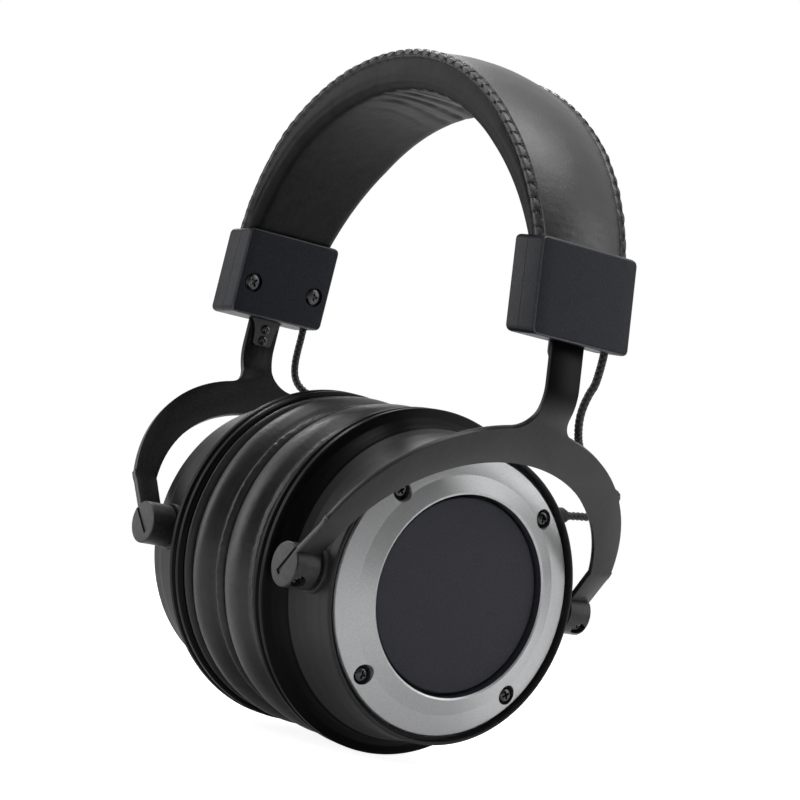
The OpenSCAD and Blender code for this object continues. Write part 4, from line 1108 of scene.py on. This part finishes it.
def housingCutters(place, depth, direction):
    gap, bore = housing["gap"], cable["diameter"] / 2 + housing["gap"]
    start, end = (-1, housing["fork"] + gap) if direction > 0 else (-strip["t"] - gap, 1)
    down = Matrix.Translation((0, cable["linkY"], 0)) @ Matrix.Rotation(-math.pi / 2, 4, "Y")
    cutters = [floorSlot(place, start, end, housing["stemHalf"] + gap),
        rod(-1, housing["wall"] + 1, bore, place @ down, steps=40)]
    if direction < 0:
        # the heads of the stem screws pass here, and the cord leans inwards
        start, half = housing["headSlot"]
        cutters.append(floorSlot(place, start, 0, half))
        cutters.append(floorSlot(place, *housing["cordSlot"], bore, cable["linkY"]))
        for y in (-housing["screwY"], housing["screwY"]):
            cutters.append(rod(-depth - 1, -depth + housing["recessDepth"], housing["recess"], place,
                (y, housing["screwZ"]), 56))
    return cutters


for s, side in sideNames.items():
    place = housingFrame(s)
    inverse = (Matrix.Scale(mm, 4) @ place).inverted()
    turning = place.to_3x3().inverted()
    for part, depth, direction in (("outer", housing["outer"], 1), ("inner", housing["inner"], -1)):
        shell, room = housingShell(f"housing.{part}.{side}", s, depth, direction)
        carve(shell, [room] + housingCutters(place, depth, direction), 38)

        def inPaintedHighlight(face):
            # painted highlight: the rounded edges get a lighter finish
            n, c = turning @ face.normal, inverse @ face.center
            nearFace = direction * c.x > depth - housing["highlightFace"]
            nearSide = abs(c.y) > housing["half"] - housing["highlightSide"]
            slant = min(n.x * direction, max(abs(n.y), abs(n.z)))
            return (nearFace or nearSide) and slant > housing["highlightTilt"]

        paintFaces(shell, "housingEdgeHighlight", inPaintedHighlight)
        mounted(shell, "headband", "black_plastic", f"housing_{part}_{side}")
    inwards = place @ Matrix.Rotation(math.pi, 4, "Z")
    seats = [(housing["inner"] - housing["sunk"], y * housing["screwY"], housing["screwZ"]) for y in (-1, 1)]
    heads = placedScrews(f"housingScrews.{side}", *housing["screwHead"], seats, inwards, 0.9)
    mounted(heads, "headband", "black_screws", f"housing_screws_{side}")
print("end housings moulded")


# forks, pivots and the rest of the metalwork
def weldedCopy(name, node, finish, bevel):
    # a solid's mesh as one skin, with its edges broken
    bm = bmesh.new()
    bm.from_mesh(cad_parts[node].data)
    bmesh.ops.remove_doubles(bm, verts=bm.verts, dist=0.002 * mm)
    bmesh.ops.dissolve_limit(bm, angle_limit=math.radians(0.6), verts=bm.verts, edges=bm.edges)
    mesh = bpy.data.meshes.new(name)
    bm.to_mesh(mesh)
    bm.free()
    for layer in list(mesh.attributes):
        if layer.name.startswith("custom_normal"):
            mesh.attributes.remove(layer)
    obj = wrapMesh(name, mesh, finish)
    mod = obj.modifiers.new("edge", "BEVEL")
    mod.width, mod.segments, mod.limit_method = bevel * mm, 2, "ANGLE"
    mod.angle_limit, mod.use_clamp_overlap = math.radians(40), True
    applied(obj)
    shaded(obj.data, 30)
    return obj


pivot = {
    # from the journal in the cup to the slotted outer face, as distance along the pin, radius and rounding
    "profile": [(37.7, 0, 0), (37.7, 3, 0.2), (44.2, 3, 0), (44.2, 5.4, 0.15), (45.0, 5.6, 0.1),
        (45.05, 6.2, 0.15), (52.8, 6.25, 0.45), (52.8, 0, 0)],
    "face": 52.8, "slotHalf": 0.95, "slotFrom": 45.1, "slotBelow": 3.7, "slotTop": 12,
    "lean": math.atan2(12.1, 12.7), "clampY": 50.3, "clampHead": (1.8, 1.3), "clampSeat": 4.15,
    "clampHole": (3.6, 12, 2.15),
}


def twoFacedFork(s, side):
    fork = weldedCopy(f"fork.{side}", f"fork_{side}", "forkAluminium", 0.22)
    # the stem runs on up into the housing
    place = Matrix.Scale(mm, 4) @ housingFrame(s, layout["extension"][s])
    inverse = place.inverted()
    rise = max(0.0, layout["extension"][s] + strip["stemUp"])
    for v in fork.data.vertices:
        local = inverse @ v.co
        if local.z > strip["stemFrom"]:
            v.co = place @ Vector((local.x, local.y, local.z + rise))
    # painted shade: the faces turned toward the head get a darker copy of the fork finish
    paintFaces(fork, "forkShadedInside", lambda face: face.normal.x * s < -0.25)
    # painted shade: the stem's colour is darkened and its shine dulled above the bend
    dark = fork.data.attributes.new("paintedStemShade", "FLOAT", "POINT")
    for v in fork.data.vertices:
        dark.data[v.index].value = float(smoothStep((inverse @ v.co).z, *strip["bend"]))
    return fork


def sliderStrip(s, side):
    # height and half width of each row, from the rounded lower end to the top
    rows = [(strip["lap"], strip["endHalf"] - 0.8), (strip["lap"] + 0.5, strip["endHalf"]),
        (-3.0, strip["endHalf"] + 0.4), (0.5, strip["half"]), (strip["top"] - 0.5, strip["half"]),
        (strip["top"], strip["half"] - 0.5)]
    t, e, back = strip["t"], strip["edge"], strip["behind"]
    verts = []
    for z, half in rows:
        section = [(-t, -half + e), (-t + e, -half), (-e / 2, -half), (-back, -half + e)]
        verts += [(x, y, z) for x, y in section] + [(x, -y, z) for x, y in section[::-1]]
    place = housingFrame(s, layout["extension"][s])
    return makePiece(f"sliderStrip.{side}", verts, gridFaces(len(rows), 8), "forkAluminium", place, angle=25)


def pivotBlock(name, s, front, tab):
    profile = filleted(pivot["profile"], 5, closed=False)
    block = turned(name, profile, "pivotMetal", besidePin(pinFrame(s), front), 96, closed=False)
    y0, y1 = sorted((front * pivot["slotFrom"], front * (pivot["face"] + 1)))
    x, low, high = pivot["slotHalf"], -pivot["slotBelow"], pivot["slotTop"]
    slot = slab((-x, y0, low), (x, y1, high), tab)
    hole = rod(*pivot["clampHole"], tab, (front * pivot["clampY"], 0), 40)
    return carve(block, [slot, hole], 34)


for s, side in sideNames.items():
    ride = f"yoke_{side}"
    mounted(twoFacedFork(s, side), ride, "black_aluminium", f"fork_{side}")
    mounted(sliderStrip(s, side), ride, "spring_steel", f"slider_strip_{side}")
    tab = pinFrame(s) @ Matrix.Rotation(pivot["lean"], 4, "Y")
    for front, end in ((-1, "front"), (1, "back")):
        block = pivotBlock(f"pivotBlock.{end}.{side}", s, front, tab)
        mounted(block, ride, "black_aluminium", f"pivot_blocks_{side}")
    seats = [(pivot["clampSeat"], front * pivot["clampY"], 0) for front in (-1, 1)]
    heads = placedScrews(f"clampScrews.{side}", *pivot["clampHead"], seats, tab, 0.8)
    mounted(heads, ride, "black_screws", f"clamp_screws_{side}")
    stem = housingFrame(s, layout["extension"][s]) @ Matrix.Rotation(math.pi, 4, "Z")
    seats = [(strip["t"] + 0.05, 0, z) for z in strip["screwZ"]]
    heads = placedScrews(f"stemScrews.{side}", *strip["screwHead"], seats, stem, 0.6)
    mounted(heads, ride, "black_screws", f"stem_screws_{side}")
    gland = weldedCopy(f"gland.{side}", f"cable_gland_{side}", "rubber", 0.15)
    mounted(gland, f"cup_{side}", "black_rubber", f"cable_gland_{side}")
print("forks and pivots fitted")

# solids that keep their own mesh
nodeFinishes = [("foam", "foamGrey"), ("cloth", "padCloth"), ("cable", "braid"), ("spring", "springSteel"),
    ("rivets", "springSteel"), ("clips", "springSteel"), ("magnet", "springSteel"), ("screws", "screwBlack"),
    ("jack", "springSteel"), ("diaphragm", "clearFilm"), ("guide", "rubber"), ("frame", "cupPlastic")]
for node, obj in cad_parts.items():
    pick = next((f for word, f in nodeFinishes if word in node), "cupPlastic")
    if node == "bridge_cable":
        pick = "rubber"
    obj.data.materials.clear()
    obj.data.materials.append(finishes[pick])

# floor and light
studio = {
    "floor": (0.86, 0.86, 0.86), "floorGlow": 0.9, "mirrorGlow": 0.25, "ambient": 0.1, "reach": 30.0,
    "backdrop": (-0.45, 0.7, 0.55), "fall": (-0.35, 0.85), "room": 0.12, "aim": (0, 0, -0.1),
    # name, place, size across and up, watts
    "lamps": [
        ("topSoftbox", (0.1, 0.1, 0.95), (0.5, 0.9), 8.0),
        ("leftSoftbox", (-1.0, -0.75, 0.2), (0.45, 0.9), 5.0),
        ("backSoftbox", (-0.8, 0.2, 0.75), (0.4, 0.5), 9.0),
        ("rightSoftbox", (0.75, 0.8, 0.35), (0.5, 0.9), 4.0),
        ("frontFill", (1.1, -0.7, 0.45), (0.9, 0.9), 1.4),
    ],
}


def makeWorld():
    world = bpy.data.worlds.new("studio")
    bpy.context.scene.world = world
    world.use_nodes = True
    tree = world.node_tree
    dim = feed(tree, tree.nodes["Background"], {"Color": (0.95, 0.97, 1, 1), "Strength": studio["ambient"]})
    white = addNode(tree, "ShaderNodeBackground", {"Color": (1, 1, 1, 1)})
    # reflections see the white backdrop and the darker room in front of it
    where = addNode(tree, "ShaderNodeTexCoord").outputs["Generated"]
    toBackdrop = Vector(studio["backdrop"]).normalized()
    side = addNode(tree, "ShaderNodeVectorMath", {0: where, 1: toBackdrop}, operation="DOT_PRODUCT")
    ends = {"From Min": studio["fall"][0], "From Max": studio["fall"][1], "To Min": studio["room"]}
    ramp = addNode(tree, "ShaderNodeMapRange", {"Value": side.outputs["Value"], **ends},
        interpolation_type="SMOOTHSTEP")
    bright = addNode(tree, "ShaderNodeBackground", {"Strength": ramp.outputs["Result"]})
    rays = addNode(tree, "ShaderNodeLightPath").outputs
    mirrored = addNode(tree, "ShaderNodeMath", {0: rays["Is Glossy Ray"], 1: rays["Is Transmission Ray"]},
        operation="MAXIMUM")
    result = dim
    for amount, shader in ((mirrored.outputs[0], bright), (rays["Is Camera Ray"], white)):
        inputs = {0: amount, 1: result.outputs[0], 2: shader.outputs[0]}
        result = addNode(tree, "ShaderNodeMixShader", inputs)
    feed(tree, tree.nodes["World Output"], {"Surface": result.outputs[0]})


def makeFloor(height):
    mat = bpy.data.materials.new("paleFloor")
    mat.use_nodes = True
    tree = mat.node_tree
    surface = {"Base Color": (*studio["floor"], 1), "Roughness": 0.9, "Specular IOR Level": 0.1}
    shader = feed(tree, tree.nodes["Principled BSDF"], surface)
    rays = addNode(tree, "ShaderNodeLightPath").outputs
    total = 0.0
    mirror = studio["mirrorGlow"]
    for label, strength in (("Camera", studio["floorGlow"]), ("Glossy", mirror), ("Transmission", mirror)):
        total = addNode(tree, "ShaderNodeMath", {0: rays[f"Is {label} Ray"], 1: strength, 2: total},
            operation="MULTIPLY_ADD").outputs[0]
    glow = addNode(tree, "ShaderNodeEmission", {"Strength": total})
    both = addNode(tree, "ShaderNodeAddShader", {0: shader.outputs[0], 1: glow.outputs[0]})
    feed(tree, tree.nodes["Material Output"], {"Surface": both.outputs[0]})
    r = studio["reach"]
    mesh = bpy.data.meshes.new("floor")
    corners = [(-r, -r, height), (r, -r, height), (r, r, height), (-r, r, height)]
    mesh.from_pydata(corners, [], [(0, 1, 2, 3)])
    mesh.materials.append(mat)
    floor = bpy.data.objects.new("floor", mesh)
    bpy.context.collection.objects.link(floor)
    floor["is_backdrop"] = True


def makeLamps():
    for name, place, size, watts in studio["lamps"]:
        data = bpy.data.lights.new(name, "AREA")
        data.shape, data.size, data.size_y, data.energy = "RECTANGLE", size[0], size[1], watts
        lamp = bpy.data.objects.new(name, data)
        bpy.context.collection.objects.link(lamp)
        lamp.location = place
        lamp.rotation_euler = (Vector(studio["aim"]) - Vector(place)).to_track_quat("-Z", "Y").to_euler()


makeWorld()
makeFloor(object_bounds()[0].z)
makeLamps()
bpy.context.scene.view_settings.view_transform = "Standard"
print("floor and lamps set")
